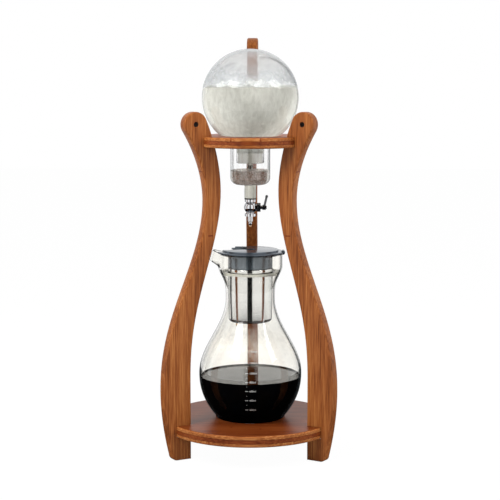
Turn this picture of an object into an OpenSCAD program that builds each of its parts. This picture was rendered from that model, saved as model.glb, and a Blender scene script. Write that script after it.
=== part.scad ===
// Cold drip coffee tower: a three-legged laminated stand, a round glass flask
// turned neck down into a glass feed cup with a drip valve, and a glass carafe
// with a steel grounds basket and a moulded lid.
// The origin is under the middle of the tower at floor level; -Y is the front.
// Every piece is drawn round the upright axis of ring and carafe, and set back in one go.

/* [Legs] */
// Thickness of the leg boards
leg_t = 16; // [12:0.5:20]
// How far the disc reaches into a leg past its straight inner edge
disc_lap = 23; // [18:0.5:28]
// Width of a leg at its foot
foot_w = 28.6; // [24:0.2:33]
// Radius of the foot's rounded outer corner
foot_round = 7; // [3:0.5:10]
// Height of the widest point of a leg
belly_z = 98; // [85:1:110]
// Width of a leg at its widest
belly_w = 41; // [37:0.5:46]
// Height at which the inner edge leaves the vertical
knee_z = 110; // [95:1:125]
// Height of the inner edge's narrowest point
waist_in_z = 377; // [360:1:390]
// Distance of the inner edge from the axis at the waist
waist_in = 49.8; // [49:0.2:54]
// Height of the outer edge's narrowest point
waist_out_z = 364; // [350:1:375]
// Distance of the outer edge from the axis at the waist
waist_out = 72.6; // [70:0.2:78]
// Radius of the round heads
head_r = 17.5; // [14:0.5:20]
// Distance of the front legs' heads from the axis
head_s = 88.2; // [87:0.2:96]
// Height of the front legs' heads
head_z = 469.6; // [460:0.2:480]
// Radius of the hole through each front head
head_hole_r = 3.5; // [2.5:0.1:5]
// Distance of the back leg's head from the axis
back_head_s = 97; // [94:0.5:104]
// Height of the back leg's head
back_head_z = 573; // [560:1:590]
// Height at which the back leg's neck has spread to its full reach
back_neck_z = 510; // [495:1:525]

/* [Ring and disc] */
// Outer radius of the top ring
ring_r = 77; // [72:0.5:82]
// Thickness of the top ring
ring_t = 15; // [12:0.5:18]
// Height of the top ring's upper face
ring_top = 452.5; // [446:0.5:458]
// Radius of the base disc
disc_r = 121; // [115:0.5:124]
// Thickness of the base disc
disc_t = 16; // [12:0.5:20]
// Height of the base disc's upper face
disc_top = 49.5; // [44:0.5:56]
// Radius of the rounded rims of ring and disc
rim_round = 2.5; // [1:0.25:4]
// Radius of the dowels that pin ring and disc into the legs
dowel_r = 3; // [2:0.25:4]
// Length of a dowel
dowel_l = 20; // [14:0.5:24]

/* [Globe] */
// Outer radius of the round flask
globe_r = 68; // [62:0.5:70]
// How far the flask's ball dips below the ring's upper face
globe_dip = 14.9; // [13:0.1:16]
// Glass thickness of the flask
globe_wall = 2.2; // [1.6:0.1:3]
// Outer radius of the flask's neck
neck_r = 19.6; // [16:0.2:22]
// Radius of the blend from flask to neck
neck_blend = 6; // [4:0.5:8]
// Height of the neck's mouth below the ring's lower face
neck_drop = 23.5; // [18:0.5:28]
// Height of the water above the flask's centre
water_rise = 13.5; // [0:0.5:25]
// Edge length of an ice cube
ice_w = 20; // [14:0.5:22]
// Radius of the circle of ice cubes
ice_ring_r = 35; // [31:0.5:37]
// Number of ice cubes in the circle
ice_count = 6; // [4:1:6]
// Length of the neck's stopper
stopper_l = 14; // [10:0.5:20]
// Outer radius of the feed tube
feed_r = 1.6; // [1.2:0.1:2.5]
// Wall of the feed tube
feed_wall = 0.6; // [0.4:0.1:0.8]

/* [Feed cup] */
// Outer radius of the feed cup
cup_r = 28.2; // [26:0.2:29]
// Glass thickness of the feed cup
cup_wall = 2.2; // [1.6:0.1:3]
// Depth of the cup below the ring's lower face
cup_drop = 54; // [48:0.5:60]
// Radius of the cup's bottom corner
cup_corner = 10; // [6:0.5:13]
// Outer radius of the spherical flare that hangs in the ring
flare_r = 41.5; // [38:0.5:42]
// Thickness of the flare
flare_t = 2.5; // [2:0.1:3.5]
// Depth of water in the cup
cup_water_h = 17; // [8:0.5:22]
// Outer radius of the cup's outlet tube
tube_r = 8.3; // [7:0.1:9]
// Length of the outlet tube
tube_l = 19.5; // [16:0.5:26]
// Bore radius of the outlet tube
tube_bore = 5.6; // [5:0.1:6]

/* [Drip valve] */
// Height of the collar under the outlet tube
collar_t = 3.7; // [2.5:0.1:5]
// Radius of the upper collar
collar_r = 7.9; // [7:0.1:9]
// Radius of the valve's ball-shaped body
ball_r = 8.9; // [8:0.1:10]
// Radius of the valve's flow passage
flow_r = 1.5; // [1:0.1:2]
// Radius of the rotating plug
plug_r = 4.4; // [3.5:0.1:5]
// Radius of the plug's stem
stem_r = 2.7; // [2:0.1:3.2]
// Distance of the stem's end from the valve's axis
stem_end = 22; // [20:0.5:24]
// Radius of the boss that carries the gland nut
boss_r = 5.6; // [5.2:0.1:7]
// Distance of the boss's face from the valve's axis
boss_end = 9.9; // [9.4:0.1:11]
// Radius of the black gland washer
washer_r = 6.2; // [5.6:0.1:7]
// Thickness of the valve's washers
washer_t = 1.4; // [1:0.1:2]
// Radius of the gland nut over its corners
nut_r = 6.3; // [5.6:0.1:7]
// Thickness of the gland nut
nut_t = 3.2; // [2:0.1:4]
// Radius of the lever's hub
hub_r = 3.6; // [3.3:0.1:4.5]
// Length of the lever's hub
hub_l = 4.8; // [4:0.1:6]
// Radius of the lever's arm
arm_r = 1.6; // [1.2:0.1:2]
// Length of the lever's arm from the stem's axis
arm_l = 16; // [12:0.5:18]
// Lean of the lever's arm away from the valve
arm_lean = 13; // [0:1:16]
// Radius of the round end of the arm
arm_tip_r = 2; // [1.7:0.1:2.6]
// Radius of the lower collar
low_collar_r = 7.8; // [7:0.1:8.5]
// Thickness of the lower collar
low_collar_t = 3.6; // [2.5:0.1:4.5]
// Outer radius of the nozzle
nozzle_r = 3.6; // [3:0.1:4.5]
// Length of the nozzle below the collar
nozzle_l = 7.2; // [5:0.1:9]
// Radius of the drip tip
tip_r = 3; // [2.4:0.1:3.4]
// Length of the drip tip
tip_l = 6.6; // [4.5:0.1:8]

/* [Carafe] */
// Radius of the carafe's foot
carafe_foot = 50; // [44:0.5:54]
// Radius of the carafe at its widest
carafe_belly = 73.2; // [68:0.2:76]
// Height of the widest point above the disc
carafe_belly_h = 64; // [58:0.5:70]
// Radius of the carafe's neck
carafe_neck = 35; // [34.4:0.2:37]
// Height of the neck above the disc
carafe_neck_h = 172; // [166:0.5:178]
// Outer radius of the carafe's collar
carafe_collar = 45.8; // [44.6:0.2:46.4]
// Height of the collar's foot above the disc
carafe_collar_h = 218; // [212:0.5:222]
// Height of the carafe's rim above the disc
carafe_h = 236.7; // [232:0.1:240]
// Glass thickness of the carafe
carafe_wall = 2.6; // [2:0.1:3.2]
// Glass thickness of the carafe's bottom
carafe_base = 6; // [4:0.5:8]
// Reach of the pouring spout from the axis
spout_reach = 57; // [53:0.5:60]
// Radius of the pouring spout at the rim
spout_r = 15; // [12:0.5:17]
// Height of the spout
spout_h = 24; // [18:0.5:28]
// Height of the coffee above the disc
coffee_h = 59.5; // [30:0.5:80]

/* [Grounds basket] */
// Outer radius of the basket at its top
basket_r = 32; // [29:0.1:32]
// Outer radius of the basket at its bottom
basket_low_r = 30.8; // [27:0.1:31]
// Depth of the basket below its flange
basket_h = 70; // [60:0.5:76]
// Sheet thickness of the basket
basket_t = 0.9; // [0.6:0.1:1.4]
// Radius of the basket's bottom corner
basket_corner = 5; // [3:0.5:8]
// Outer radius of the basket's flange
flange_r = 37.6; // [35:0.1:38]
// Outer radius of the black seal round the flange
seal_r = 39.6; // [38.4:0.1:41]
// Thickness of the seal
seal_t = 3.2; // [2.4:0.1:4]
// Radius of a drain hole in the basket's bottom
drain_r = 1.1; // [0.6:0.1:1.4]
// Distance between drain holes
drain_pitch = 4.6; // [3.6:0.1:6]
// Rings of drain holes round the middle one
drain_rings = 4; // [1:1:4]
// Thickness of the mesh that covers the drain holes
mesh_t = 0.5; // [0.3:0.1:1]
// Depth of the bed of ground coffee
bed_h = 40; // [20:1:50]

/* [Lid] */
// Radius of the lid
lid_r = 47.6; // [46.6:0.1:49]
// Thickness of the lid's plate
lid_t = 3; // [2:0.1:4]
// Radius of the drip hole in the lid
drip_hole_r = 8; // [6:0.5:10]
// Half the width of the pouring notch at its inner end
notch_w = 5.8; // [4:0.2:8]
// Distance of the notch's inner end from the axis
notch_x = 6.6; // [5:0.2:8]
// Half angle of the pouring notch
notch_a = 46; // [35:1:50]
// Half angle of the gap in the lid's rim and skirt
gap_a = 27; // [20:1:32]
// Width of the lid's rim beside the gap
rim_w = 3.6; // [2.5:0.1:5]
// Outer radius of the lid's skirt
skirt_r = 31.7; // [29:0.1:33]
// Wall of the skirt
skirt_wall = 2.2; // [1.6:0.1:3]
// Depth of the skirt below the plate
skirt_h = 25; // [20:0.5:26]
// Outer radius of the band at the skirt's top
band_r = 34; // [33.2:0.1:36]
// Height of the band
band_h = 10.5; // [6:0.5:14]
// Height of the lip that keeps the lid on the rim
lip_h = 2.6; // [2:0.1:4]
// Radius of the rolled thumb tab
tab_r = 2.8; // [2:0.1:3.5]
// Width of the thumb tab
tab_w = 13; // [8:0.5:18]

/* [Clearances] */
// Glue line between wooden pieces
joint_gap = 0.1; // [0.05:0.05:0.3]
// Gap between pieces that lift off and their seats
seat_gap = 0.3; // [0.2:0.05:0.5]
// Gap between liquid and glass, and round ice
liquid_gap = 0.1; // [0.05:0.05:0.2]
// Gap round seals and sleeves
seal_gap = 0.05; // [0.02:0.01:0.1]
// Running clearance of the valve's plug and stem
run_gap = 0.05; // [0.02:0.01:0.1]
// Gap between the cup's wall and the ring's bore
bore_gap = 2; // [1.5:0.1:2.4]

/* [Hidden] */
$fn = 96;

// Directions of the three legs
left_a = 210;
right_a = 330;
back_a = 90;
leg_angles = [left_a, right_a, back_a];

// Steps along a drawn curve
fine = 24;
coarse = 10;

// Edges of a leg: distances from the axis
foot_in = disc_r - disc_lap;
foot_out = foot_in + foot_w;
belly_out = foot_in + belly_w;
// Where the axis stands, as the back leg reaches further than the disc's front
axis_y = -(belly_out - disc_r) / 2;

// How the curves of a leg lean and bend
inner_lean = 1.2;
outer_lean = 1.12;
head_in_power = 1.9;
head_out_power = 1.94;
foot_power = 1.85;
// Where a front head meets the edges of its leg
head_in_a = 157;
head_out_a = -31;
// Where the back head meets the edges of its leg
back_in_a = 177;
back_out_a = -2;
// How far the back leg's neck stands inside its head's edges
back_sway = 2.5;

// How far a cut runs past the face it opens
over = 1;

// Round flask and its seat
ring_low = ring_top - ring_t;
globe_rise = globe_r - globe_dip;
globe_z = ring_top + globe_rise;
mouth_z = ring_low - neck_drop;
neck_in = neck_r - globe_wall;
stopper_top = mouth_z + stopper_l;
water_z = globe_z + water_rise;
ice_tilt = [25, 35, 10];
ice_tumble = [40, 15, 55];
ice_bob = 3;
blend_c = [neck_r + neck_blend, globe_z - sqrt(pow(globe_r + neck_blend, 2) - pow(neck_r + neck_blend, 2))];
blend_a = atan2(globe_z - blend_c.y, -blend_c.x);
ball_a = atan2(blend_c.y - globe_z, blend_c.x);
socket_r = globe_r + seat_gap;
flare_out_r = socket_r + flare_t;
seat_r = flare_out_r + seat_gap;
flare_lip = 1;
ring_bore = cup_r + bore_gap;
counterbore_gap = 0.7;
counterbore_r = max(sqrt(pow(globe_r, 2) - pow(globe_rise, 2)), flare_r) + counterbore_gap;

// Feed cup
cup_z = ring_low - cup_drop;
cup_in = cup_r - cup_wall;
cup_floor = cup_z + cup_wall;
cup_level = cup_floor + cup_water_h;
tube_z = cup_z - tube_l;
tube_blend = 2;

// Drip valve, with its stem along +X
collar_top = tube_z - washer_t;
collar_low = collar_top - collar_t;
ball_sink = 1.1;
valve_z = collar_low - ball_r + ball_sink;
body_low = valve_z - ball_r;
spigot_r = 3.2;
spigot_l = 14;
sleeve_top = tube_z + spigot_l;
plug_back = -5;
packing_t = 1;
plug_play = 0.2;
plug_end = boss_end - packing_t - plug_play;
screw_r = 1;
screw_head_r = 2.3;
screw_head_t = 1.3;
screw_depth = 5;
slot_w = 0.6;
slot_t = 0.6;
outlet_neck_r = 5;
shank_r = 2.5;
shank_l = 3.4;
nozzle_top = body_low - low_collar_t;
nozzle_low = nozzle_top - nozzle_l;
tip_flow_r = 0.8;

// Carafe
carafe_z = disc_top;
spout_low_r = 4;
foot_edge = 3;
belly_power = 2.2;
collar_lean = 1.8;
belly_at = [carafe_belly, carafe_z + carafe_belly_h];
neck_at = [carafe_neck, carafe_z + carafe_neck_h];
collar_at = [carafe_collar, carafe_z + carafe_collar_h];
rim_z = carafe_z + carafe_h;
coffee_z = carafe_z + coffee_h;

// Basket, which hangs where the flaring neck is as wide as its seal
seat_share = (seal_r + seat_gap + carafe_wall - carafe_neck) / (carafe_collar - carafe_neck);
seal_z = neck_at.y + (collar_at.y - neck_at.y) * pow(acos(1 - 2 * seat_share) / 180, 1 / collar_lean);
flange_t = 1.2;
seal_lap = 1.4;
flange_z = seal_z + (seal_t - flange_t) / 2;
basket_z = flange_z - basket_h;
mesh_z = basket_z + basket_t;
bed_z = mesh_z + mesh_t;

// Lid
lid_z = rim_z + seat_gap;
skirt_z = lid_z - skirt_h;
lip_r = carafe_collar - carafe_wall - seat_gap;
lip_wall = 1.4;
lid_round = 1;
sliver = 0.01;

// ---- Curves ----

// Points along an arc from angle a0 to a1
function arc(c, r, a0, a1, n) =
    [for (k = [0:n]) c + r * [cos(a0 + (a1 - a0) * k / n), sin(a0 + (a1 - a0) * k / n)]];

// An S from a to b that is upright at both ends; a lean over 1 starts it later
function s_curve(a, b, lean, n) =
    [for (k = [0:n]) [a.x + (b.x - a.x) * (1 - cos(180 * pow(k / n, lean))) / 2, a.y + (b.y - a.y) * k / n]];

// A curve that leaves a upright and bends ever more on its way to b
function bend(a, b, power, n) =
    [for (k = [0:n]) [a.x + (b.x - a.x) * pow(k / n, power), a.y + (b.y - a.y) * k / n]];

function tail(pts) = [for (k = [1:len(pts) - 1]) pts[k]];
function backwards(pts) = [for (k = [len(pts) - 1:-1:0]) pts[k]];
function narrower(pts, w) = [for (p = pts) [p.x - w, p.y]];

// ---- Frame ----

// A leg's outline: distance from the axis across, height up
function leg_outline(inner_top, head, outer_top) = concat(
    [[foot_in, 0]],
    s_curve([foot_in, knee_z], [waist_in, waist_in_z], inner_lean, fine),
    tail(inner_top),
    tail(head),
    tail(outer_top),
    tail(backwards(s_curve([belly_out, belly_z], [waist_out, waist_out_z], outer_lean, fine))),
    tail(bend([belly_out, belly_z], [foot_out, foot_round], foot_power, coarse)),
    tail(arc([foot_out - foot_round, foot_round], foot_round, 0, -90, coarse)));

function front_outline() = let (
        c = [head_s, head_z],
        head = arc(c, head_r, head_in_a, head_out_a, fine))
    leg_outline(
        bend([waist_in, waist_in_z], head[0], head_in_power, fine),
        head,
        backwards(bend([waist_out, waist_out_z], head[fine], head_out_power, fine)));

function back_outline() = let (
        c = [back_head_s, back_head_z],
        head = arc(c, head_r, back_in_a, back_out_a, fine))
    leg_outline(
        concat(
            s_curve([waist_in, waist_in_z], [head[0].x - back_sway, back_neck_z], 1, fine),
            [head[0]]),
        head,
        concat(
            [head[fine]],
            backwards(s_curve([waist_out, waist_out_z], [head[fine].x - back_sway, back_neck_z], 1, fine))));

// A radial dowel across the outer edge of a round plate
module dowel(plate_r, z, gap = 0) {
    translate([plate_r - dowel_l / 2 - gap, 0, z])
        rotate([0, 90, 0])
            cylinder(r = dowel_r + gap, h = dowel_l + 2 * gap);
}

// A board on its radial plane, let in round the ring and the disc
module leg(outline, angle, holed) {
    rotate([0, 0, angle])
        difference() {
            translate([0, leg_t / 2, 0])
                rotate([90, 0, 0])
                    linear_extrude(leg_t)
                        polygon(outline);
            translate([0, 0, ring_low - joint_gap])
                cylinder(r = ring_r + joint_gap, h = ring_t + 2 * joint_gap);
            translate([0, 0, disc_top - disc_t - joint_gap])
                cylinder(r = disc_r + joint_gap, h = disc_t + 2 * joint_gap);
            dowel(ring_r, ring_top - ring_t / 2, joint_gap);
            dowel(disc_r, disc_top - disc_t / 2, joint_gap);
            if (holed)
                translate([head_s, leg_t, head_z])
                    rotate([90, 0, 0])
                        cylinder(r = head_hole_r, h = 2 * leg_t);
        }
}

module leg_left() { color("peru") leg(front_outline(), left_a, true); }
module leg_right() { color("peru") leg(front_outline(), right_a, true); }
module leg_back() { color("peru") leg(back_outline(), back_a, false); }

// Ring: rounded outside, with a stepped and dished hole for the cup's flare
function ring_section() = concat(
    [[ring_bore, ring_low]],
    arc([ring_r - rim_round, ring_low + rim_round], rim_round, -90, 0, coarse),
    arc([ring_r - rim_round, ring_top - rim_round], rim_round, 0, 90, coarse),
    [[counterbore_r, ring_top]],
    arc([0, globe_z], seat_r, -acos(counterbore_r / seat_r), -acos(ring_bore / seat_r), coarse));

module top_ring() {
    color("sienna")
        difference() {
            rotate_extrude() polygon(ring_section());
            for (a = leg_angles)
                rotate([0, 0, a]) dowel(ring_r, ring_top - ring_t / 2, joint_gap);
        }
}

function disc_section() = concat(
    [[0, disc_top - disc_t]],
    arc([disc_r - rim_round, disc_top - disc_t + rim_round], rim_round, -90, 0, coarse),
    arc([disc_r - rim_round, disc_top - rim_round], rim_round, 0, 90, coarse),
    [[0, disc_top]]);

module base_disc() {
    color("sienna")
        difference() {
            rotate_extrude() polygon(disc_section());
            for (a = leg_angles)
                rotate([0, 0, a]) dowel(disc_r, disc_top - disc_t / 2, joint_gap);
        }
}

module ring_dowels() {
    color("burlywood")
        for (a = leg_angles)
            rotate([0, 0, a]) dowel(ring_r, ring_top - ring_t / 2);
}

module base_dowels() {
    color("burlywood")
        for (a = leg_angles)
            rotate([0, 0, a]) dowel(disc_r, disc_top - disc_t / 2);
}

// ---- Globe ----

// The neck, blend and ball of the flask at a depth below its outer face
function globe_line(depth, low, top_a) = concat(
    [[neck_r - depth, low]],
    arc(blend_c, neck_blend + depth, 180, blend_a, coarse),
    tail(arc([0, globe_z], globe_r - depth, ball_a, top_a, 2 * fine)));

module globe() {
    color("lightcyan", 0.4)
        rotate_extrude()
            polygon(concat(globe_line(0, mouth_z, 90), backwards(globe_line(globe_wall, mouth_z, 90))));
}

// Ice cubes at the surface: one in the middle and a circle of tumbled ones
module ice_cubes(gap = 0) {
    w = ice_w + 2 * gap;
    translate([0, 0, water_z])
        rotate(ice_tilt) cube(w, center = true);
    for (k = [0:ice_count - 1])
        rotate([0, 0, 360 * k / ice_count])
            translate([ice_ring_r, 0, water_z + ice_bob * (k % 2 - 1)])
                rotate(ice_tilt + k * ice_tumble) cube(w, center = true);
}

module globe_water() {
    depth = globe_wall + liquid_gap;
    top_a = asin(water_rise / (globe_r - depth));
    color("lightsteelblue", 0.5)
        difference() {
            rotate_extrude()
                polygon(concat([[0, stopper_top + liquid_gap]],
                    globe_line(depth, stopper_top + liquid_gap, top_a), [[0, water_z]]));
            ice_cubes(liquid_gap);
        }
}

module globe_ice() { color("white", 0.8) ice_cubes(); }

module globe_stopper() {
    color("whitesmoke", 0.7)
        difference() {
            translate([0, 0, mouth_z]) cylinder(r = neck_in - seal_gap, h = stopper_l);
            translate([0, 0, mouth_z - over]) cylinder(r = feed_r + seal_gap, h = stopper_l + 2 * over);
        }
}

module feed_tube() {
    low = cup_level + seat_gap;
    color("silver")
        difference() {
            translate([0, 0, low]) cylinder(r = feed_r, h = stopper_top - low);
            translate([0, 0, low - over])
                cylinder(r = feed_r - feed_wall, h = stopper_top - low + 2 * over);
        }
}

// ---- Feed cup ----

function cup_outside() = concat(
    [[tube_r, tube_z]],
    arc([tube_r + tube_blend, cup_z - tube_blend], tube_blend, 180, 90, coarse),
    arc([cup_r - cup_corner, cup_z + cup_corner], cup_corner, -90, 0, coarse),
    arc([0, globe_z], flare_out_r, -acos(cup_r / flare_out_r), -acos(flare_r / flare_out_r), coarse));

// The cup's inner face from a given height down to its floor, set in by a gap
function cup_inside(gap) = let (r = cup_in - gap, corner = cup_corner - cup_wall)
    concat(
        arc([r - corner, cup_floor + gap + corner], corner, 0, -90, coarse),
        [[tube_bore - gap, cup_floor + gap]]);

module feed_cup() {
    color("lightcyan", 0.4)
        rotate_extrude()
            polygon(concat(
                cup_outside(),
                arc([0, globe_z], socket_r, -acos((flare_r - flare_lip) / socket_r),
                    -acos(cup_in / socket_r), coarse),
                cup_inside(0),
                [[tube_bore, tube_z]]));
}

module cup_water() {
    color("lightsteelblue", 0.5)
        rotate_extrude()
            polygon(concat(
                [[0, cup_level], [cup_in - liquid_gap, cup_level]],
                cup_inside(liquid_gap),
                [[tube_bore - liquid_gap, sleeve_top + liquid_gap], [0, sleeve_top + liquid_gap]]));
}

// ---- Drip valve ----

// A round bar along +X at the valve's height
module bar(x0, x1, r) {
    translate([x0, 0, valve_z]) rotate([0, 90, 0]) cylinder(r = r, h = x1 - x0);
}

module valve_sleeve() {
    color("whitesmoke", 0.7)
        translate([0, 0, tube_z])
            difference() {
                cylinder(r = tube_bore - seal_gap, h = spigot_l);
                translate([0, 0, -over]) cylinder(r = spigot_r + seal_gap, h = spigot_l + 2 * over);
            }
}

module tube_washer() {
    color("dimgray")
        translate([0, 0, collar_top])
            difference() {
                cylinder(r = tube_r, h = washer_t);
                translate([0, 0, -over]) cylinder(r = spigot_r + seal_gap, h = washer_t + 2 * over);
            }
}

module valve_body() {
    color("silver")
        difference() {
            union() {
                translate([0, 0, collar_top - over])
                    cylinder(r = spigot_r, h = sleeve_top - collar_top + over);
                translate([0, 0, collar_low]) cylinder(r = collar_r, h = collar_t);
                translate([0, 0, valve_z]) sphere(r = ball_r);
                translate([0, 0, body_low]) cylinder(r = outlet_neck_r, h = ball_r);
                bar(0, boss_end, boss_r);
            }
            translate([0, 0, body_low - over]) cylinder(r = flow_r, h = sleeve_top - body_low + 2 * over);
            bar(plug_back, boss_end + over, plug_r + run_gap);
            translate([0, 0, body_low - over])
                cylinder(r = shank_r + seal_gap, h = shank_l + over + seal_gap);
        }
}

module valve_plug() {
    color("gray")
        difference() {
            union() {
                bar(plug_back + run_gap, plug_end, plug_r);
                bar(plug_end - over, stem_end, stem_r);
            }
            translate([0, 0, valve_z - plug_r - over]) cylinder(r = flow_r, h = 2 * (plug_r + over));
            bar(stem_end - screw_depth - seal_gap, stem_end + over, screw_r + seal_gap);
        }
}

module stem_packing() {
    color("black")
        difference() {
            bar(boss_end - packing_t, boss_end - seal_gap, plug_r);
            bar(boss_end - packing_t - over, boss_end + over, stem_r + run_gap);
        }
}

module gland_washer() {
    color("black")
        difference() {
            bar(boss_end, boss_end + washer_t, washer_r);
            bar(boss_end - over, boss_end + washer_t + over, stem_r + run_gap);
        }
}

module gland_nut() {
    x = boss_end + washer_t;
    color("dimgray")
        difference() {
            translate([x, 0, valve_z]) rotate([0, 90, 0]) cylinder(r = nut_r, h = nut_t, $fn = 6);
            bar(x - over, x + nut_t + over, stem_r + run_gap);
        }
}

module valve_lever() {
    hub_x = stem_end - hub_l;
    color("dimgray")
        difference() {
            union() {
                bar(hub_x, stem_end, hub_r);
                translate([hub_x + hub_l / 2, 0, valve_z])
                    rotate([0, arm_lean, 0]) {
                        cylinder(r = arm_r, h = arm_l);
                        translate([0, 0, arm_l]) sphere(r = arm_tip_r);
                    }
            }
            bar(hub_x - over, stem_end + over, stem_r + seal_gap);
        }
}

module lever_screw() {
    color("silver")
        difference() {
            union() {
                bar(stem_end - screw_depth, stem_end + over, screw_r);
                bar(stem_end, stem_end + screw_head_t, screw_head_r);
            }
            translate([stem_end + screw_head_t, 0, valve_z]) 
                cube([2 * slot_t, 3 * screw_head_r, slot_w], center = true);
        }
}

module low_collar() {
    color("silver")
        translate([0, 0, nozzle_top])
            difference() {
                cylinder(r = low_collar_r, h = low_collar_t);
                translate([0, 0, -over]) cylinder(r = shank_r + seal_gap, h = low_collar_t + 2 * over);
            }
}

module nozzle() {
    color("silver")
        difference() {
            union() {
                translate([0, 0, nozzle_low]) cylinder(r = nozzle_r, h = nozzle_l);
                translate([0, 0, nozzle_top - over])
                    cylinder(r = shank_r, h = low_collar_t + shank_l + over);
            }
            translate([0, 0, nozzle_low - over])
                cylinder(r = flow_r, h = body_low + shank_l - nozzle_low + 2 * over);
        }
}

module drip_tip() {
    color("silver")
        translate([0, 0, nozzle_low - tip_l])
            rotate_extrude()
                polygon(concat(
                    [[tip_flow_r, 0]],
                    arc([tip_r / 2, tip_r / 2], tip_r / 2, -90, 0, coarse),
                    [[tip_r, tip_l], [tip_flow_r, tip_l]]));
}

// ---- Carafe ----

// The carafe's outer line from its foot to its rim
function carafe_line() = concat(
    arc([carafe_foot - foot_edge, carafe_z + foot_edge], foot_edge, -90, 0, coarse),
    tail(backwards(bend(belly_at, [carafe_foot, carafe_z + foot_edge], belly_power, fine))),
    tail(s_curve(belly_at, neck_at, 1, fine)),
    tail(s_curve(neck_at, collar_at, collar_lean, fine)),
    [[carafe_collar, rim_z]]);

// The same line inside the glass, above a floor
function bowl_line(w, floor_z) = [for (p = narrower(carafe_line(), w)) if (p.y > floor_z) p];

// What the glass wraps, up to a level
module bowl(w, floor_z, top_z) {
    line = bowl_line(w, floor_z + foot_edge);
    intersection() {
        rotate_extrude()
            polygon(concat([[0, floor_z], [line[0].x - foot_edge, floor_z]], line,
                [[line[len(line) - 1].x, rim_z + over], [0, rim_z + over]]));
        cylinder(r = 2 * carafe_belly, h = top_z);
    }
}

// The spout is a leaning cone that grows out of the collar
module spout_cone(w) {
    translate([spout_r - spout_reach, 0, rim_z - spout_h])
        cylinder(r1 = spout_low_r - w / 2, r2 = spout_r - w, h = spout_h + (w > 0 ? over : 0));
}

module carafe() {
    color("lightcyan", 0.4)
        difference() {
            union() {
                rotate_extrude() polygon(concat([[0, carafe_z]], carafe_line(), [[0, rim_z]]));
                spout_cone(0);
            }
            bowl(carafe_wall, carafe_z + carafe_base, rim_z + over);
            spout_cone(carafe_wall);
        }
}

module coffee() {
    color("black")
        bowl(carafe_wall + liquid_gap, carafe_z + carafe_base + liquid_gap, coffee_z);
}

// ---- Grounds basket ----

// The basket's wall line at a depth inside its outer face
function basket_line(depth) = let (corner = basket_corner - depth)
    concat(
        arc([basket_low_r - depth - corner, basket_z + depth + corner], corner, -90, 0, coarse),
        [[basket_r - depth, flange_z]]);

module grounds_basket() {
    color("lightgray")
        difference() {
            rotate_extrude()
                polygon(concat(
                    [[0, basket_z]],
                    basket_line(0),
                    [[flange_r, flange_z], [flange_r, flange_z + flange_t],
                        [basket_r - basket_t, flange_z + flange_t]],
                    backwards(basket_line(basket_t)),
                    [[0, basket_z + basket_t]]));
            translate([0, 0, basket_z - over]) {
                cylinder(r = drain_r, h = basket_t + 2 * over);
                for (ring = [1:drain_rings], k = [0:6 * ring - 1])
                    rotate([0, 0, 60 * k / ring])
                        translate([ring * drain_pitch, 0, 0])
                            cylinder(r = drain_r, h = basket_t + 2 * over);
            }
        }
}

module basket_mesh() {
    color("gray")
        translate([0, 0, mesh_z])
            cylinder(r = basket_low_r - basket_corner, h = mesh_t);
}

module basket_seal() {
    color("black")
        rotate_extrude()
            difference() {
                translate([flange_r - seal_lap, seal_z])
                    square([seal_r - flange_r + seal_lap, seal_t]);
                translate([0, flange_z - seal_gap])
                    square([flange_r + seal_gap, flange_t + 2 * seal_gap]);
            }
}

module coffee_bed() {
    color("saddlebrown")
        translate([0, 0, bed_z])
            cylinder(r = basket_low_r - basket_corner, h = bed_h);
}

// ---- Lid ----

// A wedge that opens towards the spout from a distance behind the axis
module wedge(from_x, half_w, half_a, low, high) {
    reach = 2 * lid_r;
    translate([0, 0, low])
        linear_extrude(high - low)
            polygon([[-from_x, -half_w], [-from_x, half_w],
                [-from_x - reach, half_w + reach * tan(half_a)],
                [-from_x - reach, -half_w - reach * tan(half_a)]]);
}

module lid_ring(out_r, in_r, low, high) {
    translate([0, 0, low])
        difference() {
            cylinder(r = out_r, h = high - low);
            translate([0, 0, -over]) cylinder(r = in_r, h = high - low + 2 * over);
        }
}

module lid_plate() {
    translate([0, 0, lid_z])
        rotate_extrude()
            polygon(concat(
                [[drip_hole_r, 0], [lid_r - lid_round, 0]],
                arc([lid_r - lid_round, lid_round], lid_round, -90, 0, coarse),
                arc([lid_r - lid_round, lid_t - lid_round], lid_round, 0, 90, coarse),
                [[drip_hole_r, lid_t]]));
}

module carafe_lid() {
    color("darkslategray")
        union() {
            difference() {
                lid_plate();
                intersection() {
                    wedge(notch_x, notch_w, notch_a, lid_z - over, lid_z + lid_t + over);
                    translate([0, 0, lid_z - over]) cylinder(r = lid_r - rim_w, h = lid_t + 2 * over);
                }
                wedge(0, sliver, gap_a, lid_z - over, lid_z + lid_t + over);
            }
            difference() {
                union() {
                    lid_ring(skirt_r, skirt_r - skirt_wall, skirt_z, lid_z + over);
                    lid_ring(band_r, skirt_r - skirt_wall, lid_z - band_h, lid_z + over);
                    lid_ring(lip_r, lip_r - lip_wall, lid_z - lip_h, lid_z + over);
                }
                wedge(0, sliver, gap_a, skirt_z - over, lid_z + lid_t + over);
                intersection() {
                    wedge(notch_x, notch_w, notch_a, lid_z - over, lid_z + lid_t + over);
                    translate([0, 0, lid_z]) cylinder(r = lid_r, h = lid_t);
                }
            }
            difference() {
                translate([lid_r - tab_r / 2, tab_w / 2, lid_z + lid_t - tab_r])
                    rotate([90, 0, 0]) cylinder(r = tab_r, h = tab_w);
                translate([0, 0, lid_z - 2 * tab_r]) cylinder(r = carafe_collar + seat_gap, h = 2 * tab_r);
            }
        }
}

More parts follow.
